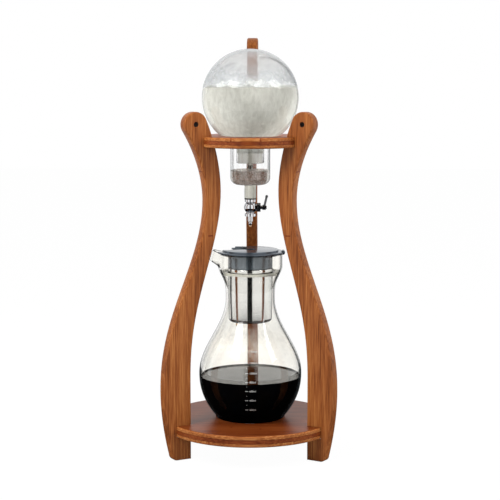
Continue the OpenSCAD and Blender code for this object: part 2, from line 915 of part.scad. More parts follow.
translate([0, axis_y, 0]) {
    leg_left();
    leg_right();
    leg_back();
    top_ring();
    base_disc();
    ring_dowels();
    base_dowels();
    globe();
    globe_water();
    globe_ice();
    globe_stopper();
    feed_tube();
    feed_cup();
    cup_water();
    valve_sleeve();
    tube_washer();
    valve_body();
    valve_plug();
    stem_packing();
    gland_washer();
    gland_nut();
    valve_lever();
    lever_screw();
    low_collar();
    nozzle();
    drip_tip();
    carafe();
    coffee();
    grounds_basket();
    basket_mesh();
    basket_seal();
    coffee_bed();
    carafe_lid();
}
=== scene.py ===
"""A cold drip coffee tower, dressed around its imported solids.

Lengths in the classes are millimetres and angles are degrees; the mesh tools
turn them to metres and radians. Round pieces are drawn about the upright axis
of ring and carafe and then set on it.
"""

import logging
import math
from dataclasses import dataclass, field, replace
from enum import Enum
from typing import Any, Callable, Sequence

import bmesh
import bpy
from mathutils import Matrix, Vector, noise


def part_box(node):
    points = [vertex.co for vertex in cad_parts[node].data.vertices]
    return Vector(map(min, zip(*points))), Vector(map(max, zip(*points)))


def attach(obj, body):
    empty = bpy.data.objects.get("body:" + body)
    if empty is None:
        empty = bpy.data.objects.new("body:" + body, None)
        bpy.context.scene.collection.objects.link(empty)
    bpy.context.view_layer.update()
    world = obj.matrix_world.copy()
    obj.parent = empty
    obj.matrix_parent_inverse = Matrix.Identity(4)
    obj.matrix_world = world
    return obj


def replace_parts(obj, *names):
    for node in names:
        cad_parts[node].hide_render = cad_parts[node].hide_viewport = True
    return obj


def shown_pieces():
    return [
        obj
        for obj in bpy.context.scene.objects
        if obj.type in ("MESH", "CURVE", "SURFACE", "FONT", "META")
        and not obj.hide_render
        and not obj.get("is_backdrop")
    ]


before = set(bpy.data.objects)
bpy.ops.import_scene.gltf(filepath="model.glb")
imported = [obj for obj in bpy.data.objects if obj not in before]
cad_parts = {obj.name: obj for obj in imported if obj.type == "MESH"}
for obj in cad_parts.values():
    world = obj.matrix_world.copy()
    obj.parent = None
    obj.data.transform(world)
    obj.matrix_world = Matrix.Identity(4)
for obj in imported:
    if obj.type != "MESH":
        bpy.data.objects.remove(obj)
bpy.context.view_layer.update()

LOG = logging.getLogger("tower")
MM = 0.001
# Corners that are closer than this, in metres, are one
MERGE = 2e-6

Point = tuple[float, float]
Triple = tuple[float, float, float]
Line = list[Point]
Piece = bpy.types.Object
Node = bpy.types.Node
Output = bpy.types.NodeSocket
Value = float | tuple | Output | Node


def axis_place() -> Vector:
    """Read from the globe's box where the axis of ring and carafe stands."""
    low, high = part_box("globe")
    return Vector(((low.x + high.x) / 2, (low.y + high.y) / 2, 0))


AXIS = axis_place()


def polar(azimuth: float, away: float, height: float) -> Vector:
    """A place by its azimuth, its distance from the upright axis and its height."""
    turn = math.radians(azimuth)
    return Vector((away * math.cos(turn), away * math.sin(turn), height))


# ---------------------------------------------------------------- drawn lines


def arc(centre: Point, radius: float, start: float, end: float, steps: int) -> Line:
    """Points along an arc.

    Args:
        centre: Middle of the arc.
        radius: Its radius.
        start: Angle of the first point.
        end: Angle of the last point.
        steps: Pieces between them.

    Returns:
        The points, both ends included.
    """
    points = []
    for k in range(steps + 1):
        angle = math.radians(start + (end - start) * k / steps)
        points.append((centre[0] + radius * math.cos(angle), centre[1] + radius * math.sin(angle)))
    return points


def s_curve(a: Point, b: Point, lean: float, steps: int) -> Line:
    """An S from a to b that is upright at both ends; a lean over 1 starts it later."""
    return [
        (
            a[0] + (b[0] - a[0]) * (1 - math.cos(math.pi * (k / steps) ** lean)) / 2,
            a[1] + (b[1] - a[1]) * k / steps,
        )
        for k in range(steps + 1)
    ]


def bend(a: Point, b: Point, power: float, steps: int) -> Line:
    """A curve that leaves a upright and bends ever more on its way to b."""
    return [
        (a[0] + (b[0] - a[0]) * (k / steps) ** power, a[1] + (b[1] - a[1]) * k / steps)
        for k in range(steps + 1)
    ]


def inwards(line: Line, depth: float) -> Line:
    """Move a line that runs up an outer wall to a depth inside it, square to it."""
    moved = []
    for k, (x, z) in enumerate(line):
        before, after = line[max(k - 1, 0)], line[min(k + 1, len(line) - 1)]
        run, rise = after[0] - before[0], after[1] - before[1]
        length = math.hypot(run, rise) or 1.0
        moved.append((x - depth * rise / length, z + depth * run / length))
    return moved


# ---------------------------------------------------------------- mesh tools


def rest() -> None:
    """Leave edit mode and deselect everything."""
    if bpy.context.object and bpy.context.object.mode != "OBJECT":
        bpy.ops.object.mode_set(mode="OBJECT")
    bpy.ops.object.select_all(action="DESELECT")


def take(piece: Piece) -> Piece:
    """Make a piece the only selected one, and the active one."""
    rest()
    piece.select_set(True)
    bpy.context.view_layer.objects.active = piece
    return piece


def pick(piece: Piece, kind: str, test: Callable[[Any], bool]) -> None:
    """Select the parts of the edited mesh that pass a test, and no others.

    Args:
        piece: The piece, in edit mode.
        kind: verts, edges or faces.
        test: Says whether one of them is wanted.
    """
    bpy.ops.mesh.select_all(action="DESELECT")
    mesh = bmesh.from_edit_mesh(piece.data)
    mesh.select_mode = {kind[:-1].upper()}
    kinds = ("verts", "edges", "faces")
    bpy.context.tool_settings.mesh_select_mode = [kind == each for each in kinds]
    for part in getattr(mesh, kind):
        if test(part):
            part.select_set(True)
    mesh.select_flush_mode()
    bmesh.update_edit_mesh(piece.data)


def trace(name: str, points: Sequence[Triple], closed: bool) -> Piece:
    """Draw a line of edges by extruding one corner from point to point.

    Args:
        name: Name of the new piece.
        points: Places in millimetres.
        closed: Whether the last point is joined to the first.

    Returns:
        The piece, in edit mode, with everything selected.
    """
    rest()
    bpy.ops.mesh.primitive_plane_add(size=MM, location=(0, 0, 0))
    piece = bpy.context.object
    piece.name = name
    bpy.ops.object.mode_set(mode="EDIT")
    bpy.context.tool_settings.mesh_select_mode = (True, False, False)
    bpy.ops.mesh.select_all(action="SELECT")
    bpy.ops.mesh.merge(type="CENTER")
    here = Vector((0, 0, 0))
    for k, point in enumerate(points):
        there = Vector(point) * MM
        if k == 0:
            bpy.ops.transform.translate(value=there)
        elif (there - here).length > MERGE:
            bpy.ops.mesh.extrude_vertices_move(TRANSFORM_OT_translate={"value": there - here})
        else:
            continue
        here = there
    if closed:
        mesh = bmesh.from_edit_mesh(piece.data)
        ends = [corner for corner in mesh.verts if len(corner.link_edges) == 1]
        for corner in mesh.verts:
            corner.select_set(corner in ends)
        mesh.select_flush_mode()
        bmesh.update_edit_mesh(piece.data)
        bpy.ops.mesh.edge_face_add()
    bpy.ops.mesh.select_all(action="SELECT")
    return piece


def smooth(piece: Piece, angle: float = 35) -> Piece:
    """Shade a piece smooth, with edges sharper than an angle kept."""
    take(piece)
    bpy.ops.object.shade_smooth_by_angle(angle=math.radians(angle))
    return piece


def slab(name: str, points: Sequence[Triple], push: Triple) -> Piece:
    """Fill a drawn loop and push it out to a slab, in millimetres; it stays in edit mode."""
    piece = trace(name, points, True)
    bpy.ops.mesh.edge_face_add()
    bpy.ops.mesh.extrude_region_move(TRANSFORM_OT_translate={"value": Vector(push) * MM})
    bpy.ops.mesh.select_all(action="SELECT")
    bpy.ops.mesh.normals_make_consistent(inside=False)
    return piece


def lay(piece: Piece, place: Vector, turn: Triple = (0, 0, 0)) -> Piece:
    """Turn a piece by angles about X, Y and Z, move it, and write both into its mesh."""
    take(piece)
    piece.rotation_euler = [math.radians(angle) for angle in turn]
    piece.location = place
    bpy.ops.object.transform_apply(location=True, rotation=True, scale=True)
    return piece


def spun(name: str, outline: Line, steps: int, closed: bool = False) -> Piece:
    """Spin an outline about the upright axis through the origin.

    Args:
        name: Name of the piece.
        outline: Distance from the axis and height of each point.
        steps: Segments round the turn.
        closed: Whether the outline is a loop that stands clear of the axis.

    Returns:
        The piece, with its faces outwards.
    """
    piece = trace(name, [(x, 0, z) for x, z in outline], closed)
    bpy.ops.mesh.spin(steps=steps, angle=2 * math.pi, center=(0, 0, 0), axis=(0, 0, 1))
    bpy.ops.mesh.select_all(action="SELECT")
    bpy.ops.mesh.remove_doubles(threshold=MERGE)
    bpy.ops.mesh.normals_make_consistent(inside=False)
    return take(piece)


def lathe(name: str, outline: Line, steps: int = 160, closed: bool = False) -> Piece:
    """Spin an outline about the upright axis and set it on the tower's axis.

    Args:
        name: Name of the piece.
        outline: Distance from the axis and height of each point.
        steps: Segments round the turn.
        closed: Whether the outline is a loop that stands clear of the axis.

    Returns:
        The piece, with its faces outwards.
    """
    return smooth(lay(spun(name, outline, steps, closed), AXIS))


def apply_modifier(piece: Piece, kind: str, **settings: Any) -> None:
    """Add a modifier to a piece, set it and apply it."""
    take(piece)
    bpy.ops.object.modifier_add(type=kind)
    modifier = piece.modifiers[-1]
    for name, value in settings.items():
        setattr(modifier, name, value)
    bpy.ops.object.modifier_apply(modifier=modifier.name)


def cut(piece: Piece, tool: Piece) -> None:
    """Take the space of one piece out of another, and delete the tool."""
    apply_modifier(piece, "BOOLEAN", operation="DIFFERENCE", solver="EXACT", object=tool)
    take(tool)
    bpy.ops.object.delete()


def join(name: str, pieces: Sequence[Piece]) -> Piece:
    """Join pieces into one mesh under a name."""
    take(pieces[0])
    for piece in pieces:
        piece.select_set(True)
    bpy.ops.object.join()
    joined = bpy.context.object
    joined.name = name
    return joined


# ---------------------------------------------------------------- finishes

WATER_IOR = 1.333
WHITE = "#ffffff"
# Where the bulk of a noise's values lies, narrow and wide
BULK: Point = (0.35, 0.65)
WIDE_BULK: Point = (0.3, 0.7)


def linear(code: str) -> tuple[float, float, float, float]:
    """Turn an sRGB hex colour to linear RGBA."""
    shares = [int(code[k : k + 2], 16) / 255 for k in (1, 3, 5)]
    bright = [c / 12.92 if c <= 0.04045 else ((c + 0.055) / 1.055) ** 2.4 for c in shares]
    return (bright[0], bright[1], bright[2], 1.0)


@dataclass
class Board:
    """The node tree that a finish is laid out on.

    A Value is a plain value, an output, or a node that stands for its first output.
    """

    tree: bpy.types.NodeTree

    def add(self, kind: str, sockets: dict[Any, Value] | None = None, **settings: Any) -> Node:
        """Add a node with its settings and links.

        Args:
            kind: Blender's name for the node, less its first part, ShaderNode.
            sockets: Input sockets and the value of each.
            settings: Attributes, set before the sockets.

        Returns:
            The node.
        """
        node = self.tree.nodes.new(f"ShaderNode{kind}")
        for name, value in settings.items():
            setattr(node, name, value)
        for key, value in (sockets or {}).items():
            given = value.outputs[0] if isinstance(value, Node) else value
            if isinstance(given, Output):
                self.tree.links.new(given, node.inputs[key])
            else:
                node.inputs[key].default_value = given
        return node

    def here(self) -> Output:
        """The place on a piece, in the piece's own coordinates."""
        return self.add("TexCoord").outputs["Object"]

    def lie(self, place: Value, scale: Triple = (1, 1, 1), turn: Triple = (0, 0, 0)) -> Node:
        """Turn and scale coordinates."""
        return self.add("Mapping", {"Vector": place, "Rotation": turn, "Scale": scale})

    def part(self, place: Value, name: str) -> Output:
        """One of the three coordinates of a place."""
        return self.add("SeparateXYZ", {0: place}).outputs[name]

    def sum(self, kind: str, *values: Value, clamp: bool = False) -> Node:
        """Do one kind of arithmetic on values."""
        return self.add("Math", dict(enumerate(values)), operation=kind, use_clamp=clamp)

    def noise(
        self, place: Value, scale: float = 1.0, detail: float = 2.0, rough: float = 0.5, warp: float = 0.0
    ) -> Node:
        """Cloudy noise at coordinates."""
        sockets = {"Vector": place, "Scale": scale, "Detail": detail, "Roughness": rough}
        return self.add("TexNoise", sockets | {"Distortion": warp})

    def specks(self, size: float, detail: float = 2.0, rough: float = 0.5) -> Node:
        """Noise on a piece, with lumps of a size in millimetres."""
        return self.noise(self.here(), 1 / (size * MM), detail, rough)

    def span(self, value: Value, reach: Point, result: Point) -> Node:
        """Stretch one range of a value to another, and hold it at its ends beyond."""
        sockets = {"Value": value, "From Min": reach[0], "From Max": reach[1]}
        return self.add("MapRange", sockets | {"To Min": result[0], "To Max": result[1]})

    def ramp(self, value: Value, *stops: tuple[float, str]) -> Node:
        """Colours that run from stop to stop along a value."""
        node = self.add("ValToRGB", {"Fac": value})
        stages = node.color_ramp.elements
        for k, (place, code) in enumerate(stops):
            stage = stages[k] if k < 2 else stages.new(place)
            stage.position = place
            stage.color = linear(code)
        return node

    def relief(self, height: Value, strength: float, depth: float, invert: bool = False) -> Node:
        """Normals that lean as a height says; the depth is in millimetres."""
        sockets = {"Strength": strength, "Distance": depth * MM, "Height": height}
        return self.add("Bump", sockets, invert=invert)

    def darken(self, share: Value, colour: Value, by: str) -> Output:
        """Multiply a colour by another where a share says so."""
        sockets = {"Factor": share, 6: colour, 7: linear(by)}
        return self.add("Mix", sockets, data_type="RGBA", blend_type="MULTIPLY").outputs[2]

    def body(self, colour: Value | str, rough: Value, sockets: dict[str, Value]) -> Node:
        """A principled shader of a colour and a roughness, and what else is given."""
        tint = linear(colour) if isinstance(colour, str) else colour
        return self.add("BsdfPrincipled", {"Base Color": tint, "Roughness": rough} | sockets)

    def milky(self, colour: Value | str) -> Node:
        """Light that crosses a piece and comes out on this side."""
        tint = linear(colour) if isinstance(colour, str) else colour
        return self.add("BsdfTranslucent", {"Color": tint})

    def blend(self, share: Value, first: Node, second: Node) -> Node:
        """Mix two shaders, with the second at a share."""
        return self.add("MixShader", {0: share, 1: first, 2: second})


def blank(owner: bpy.types.Material | bpy.types.World) -> Board:
    """Clear the node tree of a material or a world and make a board of it."""
    owner.use_nodes = True
    owner.node_tree.nodes.clear()
    return Board(owner.node_tree)


@dataclass(frozen=True)
class Finish:
    """A finish that paints one material, made the first time it is asked for."""

    name: str

    def paint(self, board: Board) -> Node:
        """Lay out the shader and return it."""
        raise NotImplementedError

    def material(self) -> bpy.types.Material:
        """Return the finish's material."""
        found = bpy.data.materials.get(self.name)
        if found:
            return found
        made = bpy.data.materials.new(self.name)
        board = blank(made)
        board.add("OutputMaterial", {"Surface": self.paint(board)})
        return made

    def dress(self, *pieces: Piece) -> None:
        """Give the material to pieces or CAD nodes."""
        for piece in pieces:
            piece.data.materials.clear()
            piece.data.materials.append(self.material())


class Cut(Enum):
    """How the bamboo strips lie in a piece."""

    UPRIGHT_BOARD = "strips stand upright, side by side across a leg"
    FLAT_DISC = "strips lie flat in three plies, the middle one crossed"


@dataclass(frozen=True)
class Bamboo(Finish):
    """Caramelised bamboo strips glued side by side, sanded and lacquered.

    Steaming turns the strips toffee brown. The eye sees long fine fibres along
    each strip, strips of slightly different tone, and now and then the darker
    band of a knuckle; the satin lacquer lays a soft sheen on top.
    """

    cut: Cut = Cut.UPRIGHT_BOARD
    turn: float = 0
    dark: str = "#6e3814"
    mid: str = "#975426"
    light: str = "#b9763e"
    strip: float = 7.5
    # Real fibres are about 0.3 mm wide; drawn at 1.5 mm so that they show
    fibre: float = 1.5
    fibre_long: float = 45
    # Lumps of lighter and darker wood to the metre, across and along
    clouds: Triple = (30, 30, 7)
    # How much the lumps and the strips differ in tone
    cloud_tone: float = 0.3
    strip_tone: float = 0.1
    knuckle_gap: float = 900
    # Half a knuckle's height as a share of the gap, and how far strips set theirs apart
    knuckle: float = 0.0012
    knuckle_step: float = 7.0
    ply: float = 5.2
    ply_from: float = 0
    # Keeps the strips of one ply from repeating those of the next
    ply_step: float = 57.3
    # Half the share of a ply that is wood, with glue for the rest
    ply_wood: float = 0.44
    knuckle_shade: str = "#c9a58a"
    glue_shade: str = "#b08e78"
    crossed_shade: str = "#c4a08a"

    def paint(self, board: Board) -> Node:
        """Strips by a stepped coordinate, fibres by stretched noise, knuckles by a beat."""
        flat = self.cut is Cut.FLAT_DISC
        place = board.here()
        turn = (0, math.radians(90), 0) if flat else (0, 0, math.radians(-self.turn))
        along = board.lie(place, turn=turn)
        across = board.part(along, "Y" if flat else "X")
        seed = board.sum("FLOOR", board.sum("DIVIDE", across, self.strip * MM))
        if flat:
            level = board.sum("SUBTRACT", board.part(place, "Z"), self.ply_from * MM)
            plies = board.sum("DIVIDE", level, self.ply * MM)
            ply = board.sum("FLOOR", plies)
            seed = board.sum("ADD", seed, board.sum("MULTIPLY", ply, self.ply_step))
        tone = board.add("TexWhiteNoise", {"W": seed}, noise_dimensions="1D")
        # Each strip's fibres start at a place of their own
        shift = board.add("CombineXYZ", {"Z": tone})
        moved = board.add("VectorMath", {0: along, 1: shift}, operation="ADD")
        wide, long = 1 / (self.fibre * MM), 1 / (self.fibre_long * MM)
        fibres = board.noise(board.lie(moved, (wide, wide, long)), detail=3.0, rough=0.62)
        clouds = board.noise(board.lie(along, self.clouds))
        mixed = board.sum("MULTIPLY_ADD", clouds, self.cloud_tone, -self.cloud_tone / 2)
        strips = board.sum("MULTIPLY_ADD", tone, self.strip_tone, -self.strip_tone / 2)
        total = board.sum("ADD", board.sum("ADD", fibres, mixed), strips)
        colour = board.ramp(total, (0.3, self.dark), (0.5, self.mid), (0.72, self.light))
        # Knuckles: a short dark band in each strip, at a height of its own
        beat = board.sum("DIVIDE", board.part(moved, "Z"), self.knuckle_gap * MM)
        phase = board.sum("FRACT", board.sum("MULTIPLY_ADD", tone, self.knuckle_step, beat))
        near = board.sum("COMPARE", phase, 0.5, self.knuckle)
        wood = board.darken(near, colour, self.knuckle_shade)
        if flat:
            seam = board.sum("COMPARE", board.sum("FRACT", plies), 0.5, self.ply_wood)
            wood = board.darken(board.sum("SUBTRACT", 1.0, seam), wood, self.glue_shade)
            wood = board.darken(board.sum("COMPARE", ply, 1.0, 0.5), wood, self.crossed_shade)
        lacquer = {"Specular IOR Level": 0.22, "Coat Weight": 0.12, "Coat Roughness": 0.2}
        return board.body(wood, 0.45, lacquer | {"Normal": board.relief(fibres, 0.12, 0.3)})


@dataclass(frozen=True)
class ClearGlass(Finish):
    """Blown borosilicate glass: clear in the middle, with the thin grey line of its wall
    where the eye looks along it; the grey is painted shade, a matt grey mixed in towards the silhouette."""

    face: str = WHITE
    edge: str = "#596063"
    painted_shade_from: float = 0.74
    most: float = 0.75
    ior: float = 1.47

    def paint(self, board: Board) -> Node:
        """Refraction that gives way to a painted grey shade towards the silhouette."""
        facing = board.add("LayerWeight", {"Blend": 0.5}).outputs["Facing"]
        line = board.span(facing, (self.painted_shade_from, 1.0), (0.0, self.most))
        glass = board.body(self.face, 0.0, {"IOR": self.ior, "Transmission Weight": 1.0})
        # A matt grey at the silhouette: painted shade for the glass's dark edge
        grey = board.body(self.edge, 0.3, {"Specular IOR Level": 0.1})
        return board.blend(line, glass, grey)


@dataclass(frozen=True)
class Fog(Finish):
    """Fine droplets on the inside of a glass: they blur and pale what stands behind."""

    tint: str = "#fdfefd"
    drop: float = 2.2
    relief: float = 1.0
    # Share of the glass that the droplets cover
    cover: float = 0.16

    def paint(self, board: Board) -> Node:
        """Refraction at water's IOR over a droplet relief, on part of the glass."""
        drops = board.relief(board.specks(self.drop, 3.0, 0.7), self.relief, 0.6)
        wet = board.body(self.tint, 0.0, {"IOR": WATER_IOR, "Transmission Weight": 1.0, "Normal": drops})
        return board.blend(self.cover, board.add("BsdfTransparent"), wet)


@dataclass(frozen=True)
class Liquid(Finish):
    """Still water: clear, with a mirror surface."""

    tint: str = "#f4f4ee"
    rough: float = 0.02
    # Share and size of the pale bubbles and droplets on the glass round the liquid
    haze: float = 0.0
    speck: float = 2.2
    pale: str = "#f3efe9"

    def paint(self, board: Board) -> Node:
        """Refraction at water's IOR, where there is haze broken by pale speckles."""
        water = board.body(self.tint, self.rough, {"IOR": WATER_IOR, "Transmission Weight": 1.0})
        if not self.haze:
            return water
        share = board.span(board.specks(self.speck, 3.0), BULK, (self.haze * 0.5, self.haze * 1.5))
        return board.blend(share, water, board.milky(self.pale))


@dataclass(frozen=True)
class Slush(Finish):
    """Iced water full of melting ice: a cloudy pale grey with darker veins and pale flecks."""

    pale: str = "#deded8"
    deep: str = "#c0bfb8"
    lump: float = 6.5
    # Lumps to the height that one is wide, so that they stand upright
    squat: float = 0.45
    clear: float = 0.0
    cloud: float = 0.85

    def paint(self, board: Board) -> Node:
        """Cloudy noise, stretched a little upright like drifting meltwater."""
        wide = 1 / (self.lump * MM)
        stretched = board.lie(board.here(), (wide, wide, self.squat * wide))
        veins = board.noise(stretched, detail=5.0, rough=0.68, warp=0.8)
        tint = board.ramp(veins, (0.3, self.deep), (0.7, self.pale))
        melt = {"IOR": 1.31, "Transmission Weight": self.clear, "Normal": board.relief(veins, 0.25, 1.0)}
        return board.blend(self.cloud, board.body(tint, 0.3, melt), board.milky(tint))


@dataclass(frozen=True)
class Mist(Finish):
    """Condensation on cold glass: a film of fine droplets, thicker in patches."""

    colour: str = "#b8bcbe"
    # Least and greatest share of the glass that it covers
    least: float = 0.32
    most: float = 0.6
    patch: float = 10
    # What is added where the glass is seen edge on
    rim: float = 0.14
    # Heights where the film is at its thickest, and where, as far below as above, it has thinned
    thick_z: float = 534
    thin_z: float = 557
    thin_share: float = 0.15

    def paint(self, board: Board) -> Node:
        """A film whose cover changes with noise and height, and grows where it is seen edge on."""
        facing = board.add("LayerWeight", {"Blend": 0.35}).outputs["Facing"]
        above = board.sum("SUBTRACT", board.part(board.here(), "Z"), self.thick_z * MM)
        fade = abs(self.thin_z - self.thick_z) * MM
        share = board.span(board.sum("ABSOLUTE", above), (0.0, fade), (1.0, self.thin_share))
        cover = board.span(board.specks(self.patch, 3.0, 0.65), BULK, (self.least, self.most))
        film = board.sum("MULTIPLY", cover, share)
        film = board.sum("MULTIPLY_ADD", facing, self.rim, film, clamp=True)
        return board.body(self.colour, 0.6, {"Alpha": film, "Specular IOR Level": 0.1})


@dataclass(frozen=True)
class Coffee(Finish):
    """Cold brew: opaque brown-black, with a mirror surface."""

    colour: str = "#040302"
    thin: str = "#0a0705"
    gloss: float = 0.5

    def paint(self, board: Board) -> Node:
        """Near black under a water-smooth gloss, browner where thin noise lets light in."""
        tint = board.ramp(board.specks(25), (0.3, self.colour), (0.8, self.thin))
        return board.body(tint, 0.03, {"IOR": 1.34, "Specular IOR Level": self.gloss})


@dataclass(frozen=True)
class Metal(Finish):
    """Polished metal with the faint circular marks of its polishing."""

    colour: str
    rough: float
    marks: float = 0.5
    bump: float = 0.02
    edge: str = "#9a9a9a"

    def paint(self, board: Board) -> Node:
        """A metallic base, its gloss broken by fine rings that noise makes uneven."""
        # Polishing marks run round the piece, so the noise is squeezed in height
        marks = board.noise(board.lie(board.here(), (40, 40, 1 / (self.marks * MM))))
        gloss = board.span(marks, WIDE_BULK, (self.rough * 0.7, self.rough * 1.3))
        polish = {"Metallic": 1.0, "Specular Tint": linear(self.edge)}
        return board.body(self.colour, gloss, polish | {"Normal": board.relief(marks, self.bump, 0.2)})


@dataclass(frozen=True)
class Moulded(Finish):
    """Moulded plastic or rubber: one colour, with the soft orange peel of its mould."""

    colour: str
    rough: float
    peel: float = 1.2
    relief: float = 0.03
    clear: float = 0.0
    sheen_metal: float = 0.0
    # Share of the light that crosses the piece and comes out on this side
    through: float = 0.0
    # Share of what stands behind that shows as it is
    sheer: float = 0.0

    def paint(self, board: Board) -> Node:
        """A plain base with fine noise in its gloss and normal."""
        peel = board.specks(self.peel)
        gloss = board.span(peel, WIDE_BULK, (self.rough * 0.85, self.rough * 1.15))
        skin = {"Metallic": self.sheen_metal, "Transmission Weight": self.clear}
        surface = board.body(self.colour, gloss, skin | {"Normal": board.relief(peel, self.relief, 0.3)})
        if not self.through:
            return surface
        body = board.blend(self.through, surface, board.milky(self.colour))
        return board.blend(self.sheer, body, board.add("BsdfTransparent")) if self.sheer else body


@dataclass(frozen=True)
class Grounds(Finish):
    """Ground coffee, wet: dark brown grains of about a millimetre."""

    dark: str = "#1c0e07"
    light: str = "#4a2a18"
    grain: float = 1.0

    def paint(self, board: Board) -> Node:
        """Cells of different browns, raised like grains."""
        grains = board.add("TexVoronoi", {"Vector": board.here(), "Scale": 1 / (self.grain * MM)})
        tint = board.ramp(grains, (0.1, self.light), (0.7, self.dark))
        return board.body(tint, 0.7, {"Normal": board.relief(grains, 0.8, 0.5, invert=True)})


@dataclass(frozen=True)
class FlagCloth(Finish):
    """Black cloth that only mirror images show; a straight look passes through it."""

    colour: str = "#0c0c0c"

    def paint(self, board: Board) -> Node:
        """Black for a ray that a glossy surface has turned, and clear for every other."""
        depth = board.add("LightPath").outputs["Glossy Depth"]
        black = board.add("BsdfDiffuse", {"Color": linear(self.colour)})
        return board.blend(board.sum("GREATER_THAN", depth, 0.5), board.add("BsdfTransparent"), black)


# Each glass's edge colour is the painted grey shade at its silhouette
CUP_GLASS = ClearGlass("clear cup glass", edge="#6c7275", painted_shade_from=0.5, most=0.9)
FLASK_GLASS = ClearGlass("clear flask glass", edge="#a2a6a8", painted_shade_from=0.6, most=0.6)
CARAFE_GLASS = ClearGlass("clear carafe glass", face="#fffefa", painted_shade_from=0.66, most=0.85, ior=1.4)
CUP_WATER = Liquid("cup water", tint="#f7f2ec", haze=0.3)
HANGING_WATER = Liquid("hanging drop", tint="#e3c3a2")
ICED_WATER = Slush("cloudy iced water")
ICE = Slush("melting ice", pale="#fafbfa", deep="#dfe1e0", lump=5, clear=0.5, cloud=0.3)
FLASK_MIST = Mist("mist on the flask")
CARAFE_MIST = Mist("mist in the carafe", colour="#fff9ee", least=0.04, most=0.17, patch=5, rim=0)
CARAFE_MIST = replace(CARAFE_MIST, thick_z=158, thin_z=187, thin_share=0)
FLASK_FOG = Fog("droplets in the flask")
CARAFE_COFFEE = Coffee("cold brew coffee")
# Coffee against glass has next to no gloss of its own
WALL_COFFEE = Coffee("cold brew against the glass", colour="#030406", gloss=0.0)
POLISHED_STEEL = Metal("polished stainless steel", colour="#ecedee", rough=0.12, edge="#b4b4b4")
CHROME = Metal("chrome plate", colour="#e3e4e6", rough=0.05, marks=1.0, bump=0.01, edge="#86868a")
BLACK_CHROME = Metal("black chrome plate", colour="#75787c", rough=0.2)
BLACK_SILICONE = Moulded("black silicone", colour="#151515", rough=0.55)
CLEAR_SILICONE = Moulded("translucent silicone", colour="#f1f0e9", rough=0.3, through=0.4, clear=0.45)
STOPPER_SILICONE = Moulded("clear silicone", colour="#f6f4ec", rough=0.45, through=0.5, sheer=0.4)
SLEEVE_SILICONE = Moulded("milky silicone", colour="#f0efe6", rough=0.35, through=0.5)
LID_PLASTIC = Moulded("gloss slate plastic", colour="#5c656e", rough=0.16, sheen_metal=0.6)
PRINT_INK = Moulded("white enamel print", colour="#d6d8d6", rough=0.4)
# The hole's wall is painted darker: painted shade inside the deep drill hole
HOLE_SHADE_WOOD = Moulded("drill hole painted shade", colour="#42210f", rough=0.8)
DOWEL_WOOD = Bamboo("raw dowel", dark="#a8835a", mid="#c6a176", light="#d8b98f", strip=20)
WET_GROUNDS = Grounds("wet coffee grounds")


# ---------------------------------------------------------------- the stand


